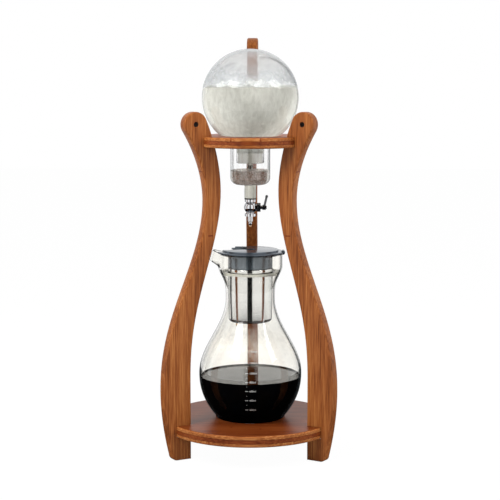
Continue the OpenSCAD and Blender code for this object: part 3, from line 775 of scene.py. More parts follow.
@dataclass
class Leg:
    """One curved board of the stand."""

    name: str
    azimuth: float
    head: Point
    head_in: float
    head_out: float
    holed: bool
    thick: float = 16
    foot_in: float = 98
    foot_out: float = 126.6
    foot_round: float = 7
    belly: Point = (139, 98)
    knee_z: float = 110
    waist_in: Point = (49.8, 377)
    waist_out: Point = (72.6, 364)
    head_r: float = 17.5
    edge_round: float = 2.6
    hole_r: float = 3.5
    hole_chamfer: float = 0.7
    inner_lean: float = 1.2
    outer_lean: float = 1.12
    foot_power: float = 1.85
    # How each edge runs from the waist to the head
    rise_power: tuple[float, float] = (1.9, 1.94)
    neck_z: float = 0
    sway: float = 2.5
    # Radius, underside and top of the plates that are let in, and the glue line round them
    ring: Triple = (77, 437.5, 452.5)
    disc: Triple = (121, 33.5, 49.5)
    gap: float = 0.1

    def rise(self, waist: Point, top: Point, power: float) -> Line:
        """The edge from the waist up to the head."""
        if self.neck_z:
            return s_curve(waist, (top[0] - self.sway, self.neck_z), 1, 28) + [top]
        return bend(waist, top, power, 28)

    def outline(self) -> Line:
        """The board's outline: distance from the axis, and height."""
        head = arc(self.head, self.head_r, self.head_in, self.head_out, 28)
        inner = self.rise(self.waist_in, head[0], self.rise_power[0])
        outer = self.rise(self.waist_out, head[-1], self.rise_power[1])
        low = s_curve((self.foot_in, self.knee_z), self.waist_in, self.inner_lean, 32)
        high = s_curve(self.belly, self.waist_out, self.outer_lean, 32)
        foot = bend(self.belly, (self.foot_out, self.foot_round), self.foot_power, 12)
        toe = arc((self.foot_out - self.foot_round, self.foot_round), self.foot_round, 0, -90, 8)
        line = [(self.foot_in, 0)] + low + inner[1:] + head[1:] + outer[::-1][1:]
        return line + high[::-1][1:] + foot[1:] + toe[1:]

    def plate_cutter(self, plate: Triple) -> Piece:
        """A round plate's space, a glue line larger than the plate."""
        radius, low, high = plate
        loop = [(0, low - self.gap), (radius + self.gap, low - self.gap)]
        loop += [(radius + self.gap, high + self.gap), (0, high + self.gap)]
        return spun("cutter", loop, 256)

    def hole_cutter(self) -> Piece:
        """The head hole's space, wider at both faces of the board."""
        half, wide = self.thick / 2 + 1, self.hole_r + self.hole_chamfer + 1
        loop = [(0, -half), (wide, -half), (self.hole_r, -half + self.hole_chamfer + 1)]
        loop += [(self.hole_r, half - self.hole_chamfer - 1), (wide, half), (0, half)]
        middle = Vector((self.head[0], 0, self.head[1])) * MM
        return lay(spun("cutter", loop, 48), middle, (90, 0, 0))

    def build(self) -> Piece:
        """Saw the board, round its long edges, and let ring and disc in."""
        half = self.thick / 2
        piece = slab(self.name, [(x, half, z) for x, z in self.outline()], (0, -self.thick, 0))

        def is_rim(edge: bmesh.types.BMEdge) -> bool:
            """Tell the edges round both faces from those across the thickness."""
            return abs(edge.verts[0].co.y - edge.verts[1].co.y) < MERGE

        pick(piece, "edges", is_rim)
        bpy.ops.mesh.bevel(offset=self.edge_round * MM, segments=4, affect="EDGES", clamp_overlap=True)
        rest()
        for plate in (self.ring, self.disc):
            cut(piece, self.plate_cutter(plate))
        if self.holed:
            cut(piece, self.hole_cutter())
        board = Bamboo(f"caramel bamboo {self.name}", turn=self.azimuth)
        if self.holed:
            board.dress(piece)
            self.paint_hole_shade(piece)
        else:
            # The back leg takes darker copies of the wood's colours: painted shade, as it stands in the
            # shade behind globe and carafe
            replace(board, dark="#57290d", mid="#81461d", light="#a06532").dress(piece)
        return smooth(lay(piece, AXIS, (0, 0, self.azimuth)), 30)

    def paint_hole_shade(self, piece: Piece) -> None:
        """Give the drilled hole darker wood: painted shade for the deep, narrow hole."""
        piece.data.materials.append(HOLE_SHADE_WOOD.material())
        middle = Vector((self.head[0], 0, self.head[1])) * MM
        for face in piece.data.polygons:
            away = face.center - middle
            inside = Vector((away.x, away.z)).length < (self.hole_r + 0.1) * MM
            if inside and abs(away.y) < (self.thick / 2 - self.hole_chamfer) * MM:
                face.material_index = 1


@dataclass
class Stand:
    """Three legs, the ring, the disc and their dowels."""

    front_head: Point = (88.2, 469.6)
    back_head: Point = (97, 573)
    back_neck_z: float = 510
    legs: list[Piece] = field(default_factory=list)

    def build(self) -> None:
        """Build the legs in place of their CAD boards."""
        for name, azimuth in (("leg_left", 210), ("leg_right", 330)):
            leg = Leg(f"{name}_board", azimuth, self.front_head, 157, -31, True)
            self.legs.append(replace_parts(leg.build(), name))
        back = Leg("leg_back_board", 90, self.back_head, 177, -2, False, neck_z=self.back_neck_z)
        self.legs.append(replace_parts(back.build(), "leg_back"))
        for piece in self.legs:
            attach(piece, "frame")

    def dress(self) -> None:
        """Give the turned plates and dowels their wood."""
        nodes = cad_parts
        ring = Bamboo("laminated bamboo ring", Cut.FLAT_DISC, 0, "#7c4019", "#a8622f", "#c98a50")
        ring = replace(ring, ply=5.0, ply_from=437.5)
        disc = replace(ring, name="laminated bamboo disc", ply=5.34, ply_from=33.5)
        # The carafe's foot mirrors the studio's dark ground in place of the disc, as coffee is black
        nodes["base_disc"].visible_glossy = False
        ring.dress(nodes["top_ring"])
        disc.dress(nodes["base_disc"])
        DOWEL_WOOD.dress(nodes["ring_dowels"], nodes["base_dowels"])


# ---------------------------------------------------------------- the globe


@dataclass
class Globe:
    """The round flask, neck down, with iced water in it."""

    radius: float = 68
    centre_z: float = 505.6
    wall: float = 2.2
    neck_r: float = 19.6
    blend_r: float = 6
    mouth_z: float = 414
    stopper_top: float = 428
    water_z: float = 519.1
    ice: float = 20
    ice_round: float = 3.2
    ice_ring: float = 35
    ice_count: int = 6
    # How the first cube is turned, and how much further each one in the ring is
    ice_turn: Triple = (25, 35, 10)
    ice_step: Triple = (40, 15, 55)
    # How far the water's mesh reaches into the wall, which the wall's lens makes it seem to do
    wetting: float = 1.4
    # Azimuth, spread and height of each lump of ice that stands against the glass
    lumps: tuple[Triple, ...] = (
        (-118, 8, 4.2),
        (-93, 9, 3.6),
        (-60, 6, 1.2),
        (-10, 12, 3.0),
        (60, 10, 3.5),
        (125, 12, 4.0),
        (170, 9, 3.2),
    )
    swell_depth: float = 7
    # Height of each ripple of the surface, its beats to the metre, and how near the wall it fades
    ripples: tuple[Point, ...] = ((2.2, 90), (0.9, 260))
    calm: float = 8
    # Angle on the ball where the mist starts, how far films lie off the glass, and their thickness
    mist_from: float = 12.5
    film: float = 0.15
    fog_thick: float = 0.3
    # How far above the water the fog starts
    fog_from: float = 6

    def blend(self) -> tuple[Point, float, float]:
        """Centre of the blend between ball and neck, and the angles where it ends."""
        across = self.neck_r + self.blend_r
        up = math.sqrt((self.radius + self.blend_r) ** 2 - across**2)
        centre = (across, self.centre_z - up)
        at_blend = math.degrees(math.atan2(up, -across))
        at_ball = math.degrees(math.atan2(-up, across))
        return centre, at_blend, at_ball

    def line(self, depth: float, low: float, top: float) -> Line:
        """The flask's line at a depth in its wall, from a height up to an angle on the ball."""
        centre, at_blend, at_ball = self.blend()
        neck = [(self.neck_r - depth, low)]
        neck += arc(centre, self.blend_r + depth, 180, at_blend, 10)
        return neck + arc((0, self.centre_z), self.radius - depth, at_ball, top, 56)[1:]

    def build_glass(self) -> Piece:
        """Blow the flask, with a fire-polished mouth."""
        outer = self.line(0, self.mouth_z + self.wall / 2, 90)
        inner = self.line(self.wall, self.mouth_z + self.wall / 2, 90)
        lip = arc((self.neck_r - self.wall / 2, self.mouth_z + self.wall / 2), self.wall / 2, 180, 360, 8)
        piece = lathe("flask_glass", inner[::-1] + lip[1:-1] + outer)
        FLASK_GLASS.dress(piece)
        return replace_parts(piece, "globe")

    def swell(self, azimuth: float) -> float:
        """How far the ice lifts the water's edge at an azimuth, in millimetres."""
        gaps = [((azimuth - middle) / spread, high) for middle, spread, high in self.lumps]
        lift = sum(high * math.exp(-(gap**2)) for gap, high in gaps)
        turn = math.radians(azimuth)
        return lift + 0.8 * noise.noise(Vector((4 * math.cos(turn), 4 * math.sin(turn), 0)))

    def build_water(self) -> Piece:
        """Fill the flask up to a surface that swells round the ice."""
        depth = self.wall - self.wetting
        top = math.degrees(math.asin((self.water_z - self.centre_z) / (self.radius - depth)))
        side = self.line(depth, self.stopper_top + 0.1, top)
        edge = side[-1][0]
        surface = [(edge * (1 - k / 24), self.water_z) for k in range(1, 25)]
        piece = lathe("iced_water", [(0, self.stopper_top + 0.1)] + side + surface)
        ball = self.radius - depth
        for corner in piece.data.vertices:
            across = Vector((corner.co.x - AXIS.x, corner.co.y - AXIS.y))
            share = 1 + (corner.co.z / MM - self.water_z) / self.swell_depth
            if share <= 0:
                continue
            corner.co.z += share * self.swell(math.degrees(math.atan2(across.y, across.x))) * MM
            if across.length > (edge - 0.5) * MM:
                reach = math.sqrt(ball**2 - (corner.co.z / MM - self.centre_z) ** 2) * MM
                corner.co.x, corner.co.y = (AXIS.xy + across.normalized() * reach)
            else:
                chop = sum(noise.noise(corner.co * beat) * high for high, beat in self.ripples)
                corner.co.z += chop * MM * min(1, (edge * MM - across.length) / (self.calm * MM))
        ICED_WATER.dress(piece)
        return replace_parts(piece, "globe_water")

    def build_ice(self) -> Piece:
        """Melt the cubes: round their edges and dent their faces."""
        spots = [(self.ice_turn, 0, 0, 0)]
        for k in range(self.ice_count):
            turn = [first + k * step for first, step in zip(self.ice_turn, self.ice_step)]
            spots.append((turn, 360 / self.ice_count * k, self.ice_ring, 3 * (k % 2 - 1)))
        cubes = []
        for turn, azimuth, away, bob in spots:
            rest()
            bpy.ops.mesh.primitive_cube_add(size=self.ice * MM, location=(0, 0, 0))
            cube = bpy.context.object
            apply_modifier(cube, "BEVEL", width=self.ice_round * MM, segments=3)
            apply_modifier(cube, "SUBSURF", levels=2, render_levels=2)
            for corner in cube.data.vertices:
                seed = corner.co * 120 + Vector((azimuth, away, bob))
                corner.co *= 1 - 0.05 * abs(noise.noise(seed)) - 0.01
            lay(cube, Vector((away, 0, self.water_z + bob)) * MM, turn)
            cubes.append(lay(cube, AXIS, (0, 0, azimuth)))
        piece = smooth(join("ice_lumps", cubes), 60)
        ICE.dress(piece)
        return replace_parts(piece, "globe_ice")

    def build_mist(self) -> Piece:
        """The film of condensation on the outside of the cold flask."""
        piece = lathe("flask_mist", arc((0, self.centre_z), self.radius + self.film, self.mist_from, 90, 48))
        FLASK_MIST.dress(piece)
        return piece

    def build_fog(self) -> Piece:
        """The fog on the inside above the water."""
        near = self.radius - self.wall - self.film
        low = math.degrees(math.asin((self.water_z + self.fog_from - self.centre_z) / near))
        outside = arc((0, self.centre_z), near, low, 90, 32)
        inside = arc((0, self.centre_z), near - self.fog_thick, low, 90, 32)
        piece = lathe("flask_fog", inside[::-1] + outside)
        FLASK_FOG.dress(piece)
        return piece

    def build(self) -> None:
        """Build everything of the globe and let it ride."""
        glass, water, ice = self.build_glass(), self.build_water(), self.build_ice()
        for piece in (glass, water, ice, self.build_mist(), self.build_fog()):
            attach(piece, "globe_body")
            piece.visible_shadow = False

    def dress(self) -> None:
        """Give stopper and tube their finishes."""
        STOPPER_SILICONE.dress(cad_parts["globe_stopper"])
        POLISHED_STEEL.dress(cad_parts["feed_tube"])


# ---------------------------------------------------------------- the feed cup


@dataclass
class FeedCup:
    """The glass cup that hangs in the ring, with its water and outlet tube."""

    radius: float = 28.2
    wall: float = 2.2
    bottom_z: float = 383.5
    corner: float = 10
    globe_z: float = Globe.centre_z
    flare_in: float = 68.3
    flare_out: float = 70.8
    flare_r: float = 41.5
    tube_r: float = 8.3
    tube_bore: float = 5.6
    tube_z: float = 364
    fillet: float = 2
    # Rounding of the glass's ends, and of the water's edge against the wall
    lip: float = 0.6
    meniscus: float = 1.9
    water_z: float = 402.7
    water_low: float = 382.6
    # The water's mesh reaches deep into the wall, which a real wall's lens makes it seem to do
    wetting: float = 1.8
    bore_wetting: float = 2.3
    # The soft sleeve on the feed tube's end, and the columns, rows and radius of its drip holes
    sleeve_z: Point = (404.6, 412.2)
    sleeve_r: float = 3.7
    sleeve_in: float = 1.65
    columns: int = 8
    rows: int = 3
    dot_r: float = 0.9
    # How far the outer rows keep from the sleeve's ends, and where the first column stands
    dot_margin: float = 1.6
    dot_from: float = -88

    def down(self, reach: float, ball: float) -> float:
        """Angle, on a ball about the globe's centre, at a distance from the axis."""
        return -math.degrees(math.acos(reach / ball))

    def build_glass(self) -> Piece:
        """Blow the cup, its flare and its tube."""
        hub = (0, self.globe_z)
        outside = [(self.tube_r, self.tube_z + self.lip)]
        outside += arc((self.tube_r + self.fillet, self.bottom_z - self.fillet), self.fillet, 180, 90, 8)
        turned = (self.radius - self.corner, self.bottom_z + self.corner)
        outside += arc(turned, self.corner, -90, 0, 14)
        start = self.down(self.radius, self.flare_out)
        end = self.down(self.flare_r - self.lip, self.flare_out)
        outside += arc(hub, self.flare_out, start, end, 14)
        inner_r, inner_corner = self.radius - self.wall, self.corner - self.wall
        start, end = self.down(self.flare_r - 2 * self.lip, self.flare_in), self.down(inner_r, self.flare_in)
        inside = arc(hub, self.flare_in, start, end, 14)
        floor = self.bottom_z + self.wall
        inside += arc((inner_r - inner_corner, floor + inner_corner), inner_corner, 0, -90, 14)
        inside += [(self.tube_bore + 0.8, floor), (self.tube_bore, floor - 0.8)]
        inside += [(self.tube_bore, self.tube_z + self.lip)]
        foot = [(self.tube_bore + self.lip, self.tube_z), (self.tube_r - self.lip, self.tube_z)]
        piece = lathe("cup_glass", outside + inside + foot, closed=True)
        CUP_GLASS.dress(piece)
        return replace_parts(piece, "feed_cup")

    def build_water(self) -> Piece:
        """Fill the cup, with the meniscus that climbs its wall."""
        wall_r = self.radius - self.wall + self.wetting
        corner = self.corner - self.wall + self.wetting
        floor = self.bottom_z + self.wall - self.wetting / 2
        bore = self.tube_bore + self.bore_wetting
        rim = [(wall_r * k / 12 * 0.9, self.water_z) for k in range(13)]
        rim += arc((wall_r - self.meniscus, self.water_z + self.meniscus), self.meniscus, -80, 0, 6)
        side = arc((wall_r - corner, floor + corner), corner, 0, -90, 14)
        low = [(bore, floor), (bore, self.water_low), (0, self.water_low)]
        piece = lathe("cup_water_fill", rim + side + low)
        CUP_WATER.dress(piece)
        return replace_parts(piece, "cup_water")

    def build_sleeve(self) -> Piece:
        """Push a soft sleeve with dark drip holes on the feed tube's end."""
        low, high = self.sleeve_z
        loop = [(self.sleeve_in, low + 0.3), (self.sleeve_r - 0.6, low)]
        loop += [(self.sleeve_r, low + 0.6), (self.sleeve_r, high - 0.6), (self.sleeve_r - 0.6, high)]
        sleeve = lathe("tube_sleeve", loop + [(self.sleeve_in, high - 0.3)], 48, closed=True)
        STOPPER_SILICONE.dress(sleeve)
        button = [(0, 0.12), (self.dot_r * 0.7, 0.08), (self.dot_r, -0.05), (self.dot_r, -0.3), (0, -0.3)]
        dots = []
        step = (high - low - 2 * self.dot_margin) / (self.rows - 0.5)
        for column in range(self.columns):
            turn = 360 / self.columns * column + self.dot_from
            for row in range(self.rows):
                rise = low + self.dot_margin + step * (row + 0.5 * (column % 2))
                place = AXIS + polar(turn, self.sleeve_r, rise) * MM
                dots.append(lay(spun("drip_hole", button, 12), place, (0, 90, turn)))
        holes = join("drip_holes", dots)
        BLACK_SILICONE.dress(holes)
        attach(holes, "globe_body")
        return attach(sleeve, "globe_body")

    def build(self) -> None:
        """Build cup and water and let them ride."""
        for piece in (self.build_glass(), self.build_water()):
            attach(piece, "feed")
            piece.visible_shadow = False
        self.build_sleeve()


@dataclass
class DripValve:
    """The chrome valve under the cup, with its lever, collars and tip."""

    finishes: dict[str, Finish] = field(
        default_factory=lambda: {
            "tube_washer": BLACK_SILICONE,
            "valve_body": CHROME,
            "valve_plug": CHROME,
            "stem_packing": BLACK_SILICONE,
            "gland_washer": BLACK_SILICONE,
            "gland_nut": BLACK_CHROME,
            "valve_lever": BLACK_CHROME,
            "lever_screw": CHROME,
            "low_collar": CHROME,
            "nozzle": CHROME,
        }
    )
    tip_top: float = 331.4
    tip_low: float = 325.4
    # Radii of the tip at its shoulder, along its length and at its end
    tip_r: Triple = (2.9, 2.3, 1.7)
    bore: float = 1.1
    drop_r: float = 1.6
    # The outlet tube's wall makes the sleeve in it look as wide as the tube
    sleeve_in: float = 3.3
    sleeve_out: float = 7.9
    sleeve_z: Point = (364.3, 382.4)

    def build(self) -> None:
        """Turn a slimmer drip tip and hang a drop of water on it."""
        top, low = self.tip_top, self.tip_low
        wide, slim, end = self.tip_r
        loop = [(self.bore, top - 0.02), (wide, top - 0.02), (wide, top - 0.5), (slim, top - 1.3)]
        loop += [(slim, low + 1.4), (end, low + 0.2), (self.bore, low)]
        tip = lathe("turned_tip", loop, 64, closed=True)
        CHROME.dress(tip)
        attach(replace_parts(tip, "drip_tip"), "feed")
        near, far = self.sleeve_in, self.sleeve_out
        foot, head = self.sleeve_z
        loop = [(near, foot), (far - 0.5, foot), (far, foot + 0.5), (far, head - 0.5)]
        sleeve = lathe("soft_sleeve", loop + [(far - 0.5, head), (near, head)], 64, closed=True)
        SLEEVE_SILICONE.dress(sleeve)
        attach(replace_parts(sleeve, "valve_sleeve"), "feed")
        drop = [(0, low + 0.9), (1.0, low + 0.9), (1.5, low + 0.2), (self.drop_r, low - 0.4)]
        drop += arc((0, low - 0.4), self.drop_r, -10, -90, 6)
        hanging = lathe("hanging_drop", drop, 48)
        HANGING_WATER.dress(hanging)
        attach(hanging, "feed")

    def dress(self) -> None:
        """Give each of the valve's nodes its finish."""
        for name, finish in self.finishes.items():
            finish.dress(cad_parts[name])


# ---------------------------------------------------------------- the carafe


@dataclass
class Carafe:
    """The glass carafe with its spout, coffee and printed scale."""

    foot_z: float = 49.5
    foot_r: float = 50
    foot_edge: float = 3
    belly: Point = (73.2, 113.5)
    neck: Point = (35, 221.5)
    collar: Point = (45.8, 267.5)
    rim_z: float = 286.2
    wall: float = 2.6
    base: float = 6
    belly_power: float = 2.2
    collar_lean: float = 1.8
    spout_reach: float = 12.5
    spout_half: float = 26
    spout_h: float = 20
    spout_power: float = 1.5
    # Height of the fullest part as a share of the spout's, and how far the tip draws in
    underlip: float = 0.5
    draw_in: float = 0.4
    tip_lift: float = 4.5
    coffee_z: float = 109
    meniscus: float = 1.8
    # The coffee's mesh reaches deep into wall and base, as the thick glass makes it seem to do
    wetting: float = 2.2
    base_wetting: float = 4.4
    # Heights of the printed marks and the volumes that stand beside them
    marks: tuple[tuple[float, int], ...] = (
        (73, 200),
        (87.6, 400),
        (101.3, 600),
        (114.0, 800),
        (126.5, 1000),
        (140.3, 1200),
        (155.0, 1400),
    )
    front: float = -88
    print_h: float = 3.63
    # Where the numbers start, and the ends and thickness of dashes and dots, across the print
    label_x: float = -1.2
    dash: Triple = (-7.2, -2.9, 0.6)
    dot: Triple = (-5.4, -4.5, 0.4)
    # Lower and upper end of the mist, how far it lies off the glass, and its thickness
    fog: Point = (129, 187)
    film: float = 0.15
    fog_thick: float = 0.3
    # How far the print stands off the glass
    ink: float = 0.06

    def line(self) -> Line:
        """The carafe's outer line from its foot to its rim."""
        toe = arc((self.foot_r - self.foot_edge, self.foot_z + self.foot_edge), self.foot_edge, -90, 0, 8)
        low = bend(self.belly, (self.foot_r, self.foot_z + self.foot_edge), self.belly_power, 24)
        middle = s_curve(self.belly, self.neck, 1, 36)
        high = s_curve(self.neck, self.collar, self.collar_lean, 24)
        rise = (self.rim_z - self.collar[1]) / 8
        upper = [(self.collar[0], self.collar[1] + rise * k) for k in range(1, 8)]
        return toe + low[::-1][1:] + middle[1:] + high[1:] + upper

    def inner_line(self, depth: float, floor: float) -> Line:
        """The line at a depth in the wall, above a floor."""
        line = [p for p in inwards(self.line(), depth) if p[1] > floor + self.foot_edge]
        corner = (line[0][0] - self.foot_edge, floor)
        return [(0, floor), (corner[0] * 0.5, floor), corner] + line

    def pull_spout(self, piece: Piece) -> None:
        """Pull the rim out into a beak on the left, with a full underlip and a raised tip."""
        low = self.rim_z - self.spout_h
        for corner in piece.data.vertices:
            across = Vector((corner.co.x - AXIS.x, corner.co.y - AXIS.y))
            up = (corner.co.z / MM - low) / self.spout_h
            if up <= 0 or across.length < 5 * MM:
                continue
            side = math.degrees(across.angle(Vector((-1, 0)))) / self.spout_half
            if side >= 1:
                continue
            wide = math.cos(math.pi / 2 * side) ** self.spout_power
            swell = min(1, up / self.underlip)
            swell = swell * swell * (3 - 2 * swell)
            back = self.draw_in * max(0, (up - self.underlip) / (1 - self.underlip))
            corner.co.x -= self.spout_reach * MM * wide * swell * (1 - back)
            corner.co.z += self.tip_lift * MM * wide * up * up

    def build_glass(self) -> Piece:
        """Blow the carafe with a round rim and a thick, slightly hollow base."""
        outer = self.line()
        inner = self.inner_line(self.wall, self.foot_z + self.base)
        crown_r = self.wall / 2
        crown = arc((self.collar[0] - crown_r, self.rim_z - crown_r), crown_r, 0, 180, 8)
        hollow = [(0, self.foot_z + 1.6), (30, self.foot_z + 1.3), (41, self.foot_z + 0.5)]
        piece = lathe("carafe_glass", hollow + outer + crown + inner[::-1], steps=180)
        self.pull_spout(piece)
        CARAFE_GLASS.dress(piece)
        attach(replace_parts(piece, "carafe"), "carafe_body")
        piece.visible_shadow = False
        return piece

    def build_coffee(self) -> Piece:
        """Fill the carafe, with the meniscus that climbs the glass."""
        floor = self.foot_z + self.base - self.base_wetting
        wall = [p for p in self.inner_line(self.wall - self.wetting, floor) if p[1] < self.coffee_z + 1.4]
        edge = wall[-1][0]
        rim = arc((edge - self.meniscus, self.coffee_z + self.meniscus), self.meniscus, 0, -80, 6)
        top = [(edge * 0.94 * (1 - k / 10), self.coffee_z) for k in range(11)]
        piece = lathe("coffee_fill", wall[:-1] + rim + top)
        CARAFE_COFFEE.dress(piece)
        piece.data.materials.append(WALL_COFFEE.material())
        take(piece)
        piece.active_material_index = 1
        bpy.ops.object.mode_set(mode="EDIT")
        pick(piece, "faces", lambda f: f.normal.z < 0.5)
        bpy.ops.object.material_slot_assign()
        rest()
        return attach(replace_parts(piece, "coffee"), "carafe_body")

    def outer_at(self, height: float) -> float:
        """Radius of the glass at a height."""
        line = self.line()
        for (r0, z0), (r1, z1) in zip(line, line[1:]):
            if z0 <= height <= z1 and z1 > z0:
                return r0 + (r1 - r0) * (height - z0) / (z1 - z0)
        return self.belly[0]

    def wrap(self, piece: Piece) -> None:
        """Lay a flat print, drawn across and up, on the front of the glass."""
        for corner in piece.data.vertices:
            away = (self.outer_at(corner.co.y / MM) + self.ink + corner.co.z / MM) * MM
            angle = math.radians(self.front) + corner.co.x / away
            corner.co = AXIS + Vector((away * math.cos(angle), away * math.sin(angle), corner.co.y))

    def build_label(self, height: float, volume: int) -> Piece:
        """Print one number as raised enamel."""
        rest()
        bpy.ops.object.text_add(location=(0, 0, 0))
        text = bpy.context.object
        text.data.body = f"{volume}ml"
        text.data.size = self.print_h * MM
        text.data.align_x = "LEFT"
        text.data.align_y = "CENTER"
        text.data.resolution_u = 3
        bpy.ops.object.convert(target="MESH")
        return lay(bpy.context.object, Vector((self.label_x, height, 0)) * MM)

    def build_dash(self, height: float, ends: Triple) -> Piece:
        """Print one dash, with rounded corners."""
        left, right, thick = ends
        rest()
        bpy.ops.mesh.primitive_grid_add(x_subdivisions=6, y_subdivisions=1, size=1)
        piece = bpy.context.object
        piece.scale = ((right - left) * MM, thick * MM, 1)
        lay(piece, Vector(((left + right) / 2, height, 0)) * MM)
        bpy.ops.object.mode_set(mode="EDIT")
        half = (right - left) / 2 * MM - MERGE
        middle = (left + right) / 2 * MM
        pick(piece, "verts", lambda v: abs(v.co.x - middle) > half)
        bpy.ops.mesh.bevel(offset=thick * 0.35 * MM, segments=3, affect="VERTICES")
        rest()
        return piece

    def build_scale(self) -> Piece:
        """Print the volume marks, with a dot half way between them."""
        prints = []
        heights = [z for z, _ in self.marks]
        for height, volume in self.marks:
            prints.append(self.build_label(height, volume))
            prints.append(self.build_dash(height, self.dash))
        for low, high in zip(heights, heights[1:]):
            prints.append(self.build_dash((low + high) / 2, self.dot))
        piece = join("printed_scale", prints)
        self.wrap(piece)
        take(piece)
        bpy.ops.object.mode_set(mode="EDIT")
        bpy.ops.mesh.select_all(action="SELECT")
        bpy.ops.mesh.normals_make_consistent(inside=False)
        rest()
        apply_modifier(piece, "SOLIDIFY", thickness=0.08 * MM, offset=0)
        PRINT_INK.dress(piece)
        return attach(piece, "carafe_body")

    def build_fog(self) -> Piece:
        """The mist on the glass between the coffee and the basket."""
        low, high = self.fog
        near = [p for p in self.inner_line(self.wall + self.film, self.foot_z) if low < p[1] < high]
        far = [(x - self.fog_thick, z) for x, z in near]
        piece = lathe("carafe_fog", near + far[::-1], closed=True)
        CARAFE_MIST.dress(piece)
        piece.visible_shadow = False
        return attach(piece, "carafe_body")

    def build(self) -> None:
        """Build the carafe and what is in and on it."""
        self.build_glass()
        self.build_coffee()
        self.build_fog()
        self.build_scale()


@dataclass
class Basket:
    """The steel basket with its seal, mesh and grounds."""

    band_in: float = 31.0
    band_out: float = 32.1
    flange_z: float = 260.3
    band_z: float = 265.0
    floor_z: float = 188
    # Azimuth, distance from the axis and size of each hanging drop
    drops: tuple[Triple, ...] = ((-133, 27, 1.5), (-70, 14, 0.9), (60, 20, 1.2))

    def build(self) -> None:
        """Raise the bright rim band that stands on the flange."""
        bead = (self.band_out - self.band_in) / 2
        crown = arc((self.band_in + bead, self.band_z - bead), bead, 0, 180, 6)
        foot = [(self.band_in, self.flange_z), (self.band_out, self.flange_z)]
        piece = lathe("basket_band", foot + crown, closed=True)
        POLISHED_STEEL.dress(piece)
        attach(piece, "basket")
        self.build_drops()

    def build_drops(self) -> None:
        """Hang drops of coffee under the basket's floor."""
        drops = []
        for azimuth, away, size in self.drops:
            line = [(0, 0.3), (0.5 * size, 0.2), (0.62 * size, -0.9 * size)]
            line += arc((0, -1.5 * size), size, 30, -90, 8)
            drops.append(lay(spun("drop", line, 24), AXIS + polar(azimuth, away, self.floor_z) * MM))
        piece = smooth(join("coffee_drops", drops), 60)
        HANGING_WATER.dress(piece)
        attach(piece, "basket")

    def dress(self) -> None:
        """Give the basket's nodes their finishes."""
        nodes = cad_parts
        POLISHED_STEEL.dress(nodes["grounds_basket"], nodes["basket_mesh"])
        CLEAR_SILICONE.dress(nodes["basket_seal"])
        WET_GROUNDS.dress(nodes["coffee_bed"])


@dataclass
class Lid:
    """The moulded lid: a flange, a raised disc with a pour opening, a band and a skirt."""

    hole_r: float = 8
    top_z: float = 291.2
    disc_r: float = 40.3
    step_z: float = 288.8
    flange_r: float = 47.4
    seat_z: float = 286.5
    # Outer and inner radius and foot of the lip that stands in the glass rim
    lip: Triple = (43, 41.4, 284)
    band_r: float = 34
    band_z: float = 281.4
    skirt_r: float = 31.7
    skirt_in: float = 29.5
    skirt_z: float = 265.4
    roof_z: float = 288.4
    tab_r: float = 3.1
    tab_w: float = 13
    tab_in: float = 0.9
    tab_z: float = 287.3
    # Radius round the glass rim that the tab stays out of
    rim_r: float = 46.4
    # The opening, seen from above: its right edge runs past the hole
    opening: tuple[Point, ...] = (
        (-5.5, -2),
        (-28, -8),
        (-60, -13),
        (-60, 60),
        (-36, 50),
        (-26, 34),
        (-5.5, 26),
    )

    def outline(self) -> Line:
        """The lid's half section, from the hole over the top and down the skirt."""
        lip_out, lip_in, lip_z = self.lip
        top = [(self.hole_r, self.top_z), (self.disc_r - 0.9, self.top_z)]
        top += arc((self.disc_r - 0.9, self.top_z - 0.9), 0.9, 90, 0, 4)[1:]
        top += [(self.disc_r, self.step_z + 0.4), (self.disc_r + 0.4, self.step_z)]
        middle = (self.step_z + self.seat_z) / 2
        half = (self.step_z - self.seat_z) / 2
        top += arc((self.flange_r - half, middle), half, 90, -90, 8)
        low = [(lip_out, self.seat_z), (lip_out, lip_z + 0.4), (lip_out - 0.4, lip_z)]
        low += [(lip_in + 0.4, lip_z), (lip_in, lip_z + 0.4), (lip_in, self.seat_z)]
        low += [(self.band_r, self.seat_z), (self.band_r, self.band_z + 0.6)]
        low += [(self.band_r - 0.6, self.band_z), (self.skirt_r, self.band_z)]
        low += [(self.skirt_r, self.skirt_z + 0.8), (self.skirt_r - 0.8, self.skirt_z)]
        low += [(self.skirt_in + 0.4, self.skirt_z), (self.skirt_in, self.skirt_z + 0.4)]
        return top + low + [(self.skirt_in, self.roof_z), (self.hole_r, self.roof_z)]

    def build_tab(self) -> Piece:
        """Roll the thumb tab at the right, with rounded ends."""
        half = self.tab_w / 2
        end = arc((0, half - 0.8), 0.8, 90, 0, 4)
        line = [(max(x + self.tab_r - 0.8, 0), y) for x, y in end]
        loop = [(0, half)] + line + [(x, -y) for x, y in line[::-1]] + [(0, -half)]
        middle = AXIS + Vector((self.flange_r - self.tab_in, 0, self.tab_z)) * MM
        piece = lay(spun("thumb_tab", loop, 32), middle, (90, 0, 0))
        below = [(0, self.skirt_z), (self.rim_r, self.skirt_z), (self.rim_r, self.seat_z), (0, self.seat_z)]
        cut(piece, lathe("cutter", below, 96))
        return piece

    def build(self) -> None:
        """Mould the lid and cut its pour opening."""
        piece = lathe("lid_body", self.outline(), closed=True)
        cutter = slab("cutter", [(x, y, self.lip[2] - 1) for x, y in self.opening], (0, 0, 20))
        cut(piece, lay(cutter, AXIS))
        piece = smooth(join("lid_moulding", [piece, self.build_tab()]), 30)
        LID_PLASTIC.dress(piece)
        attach(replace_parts(piece, "carafe_lid"), "lid")


# ---------------------------------------------------------------- the studio


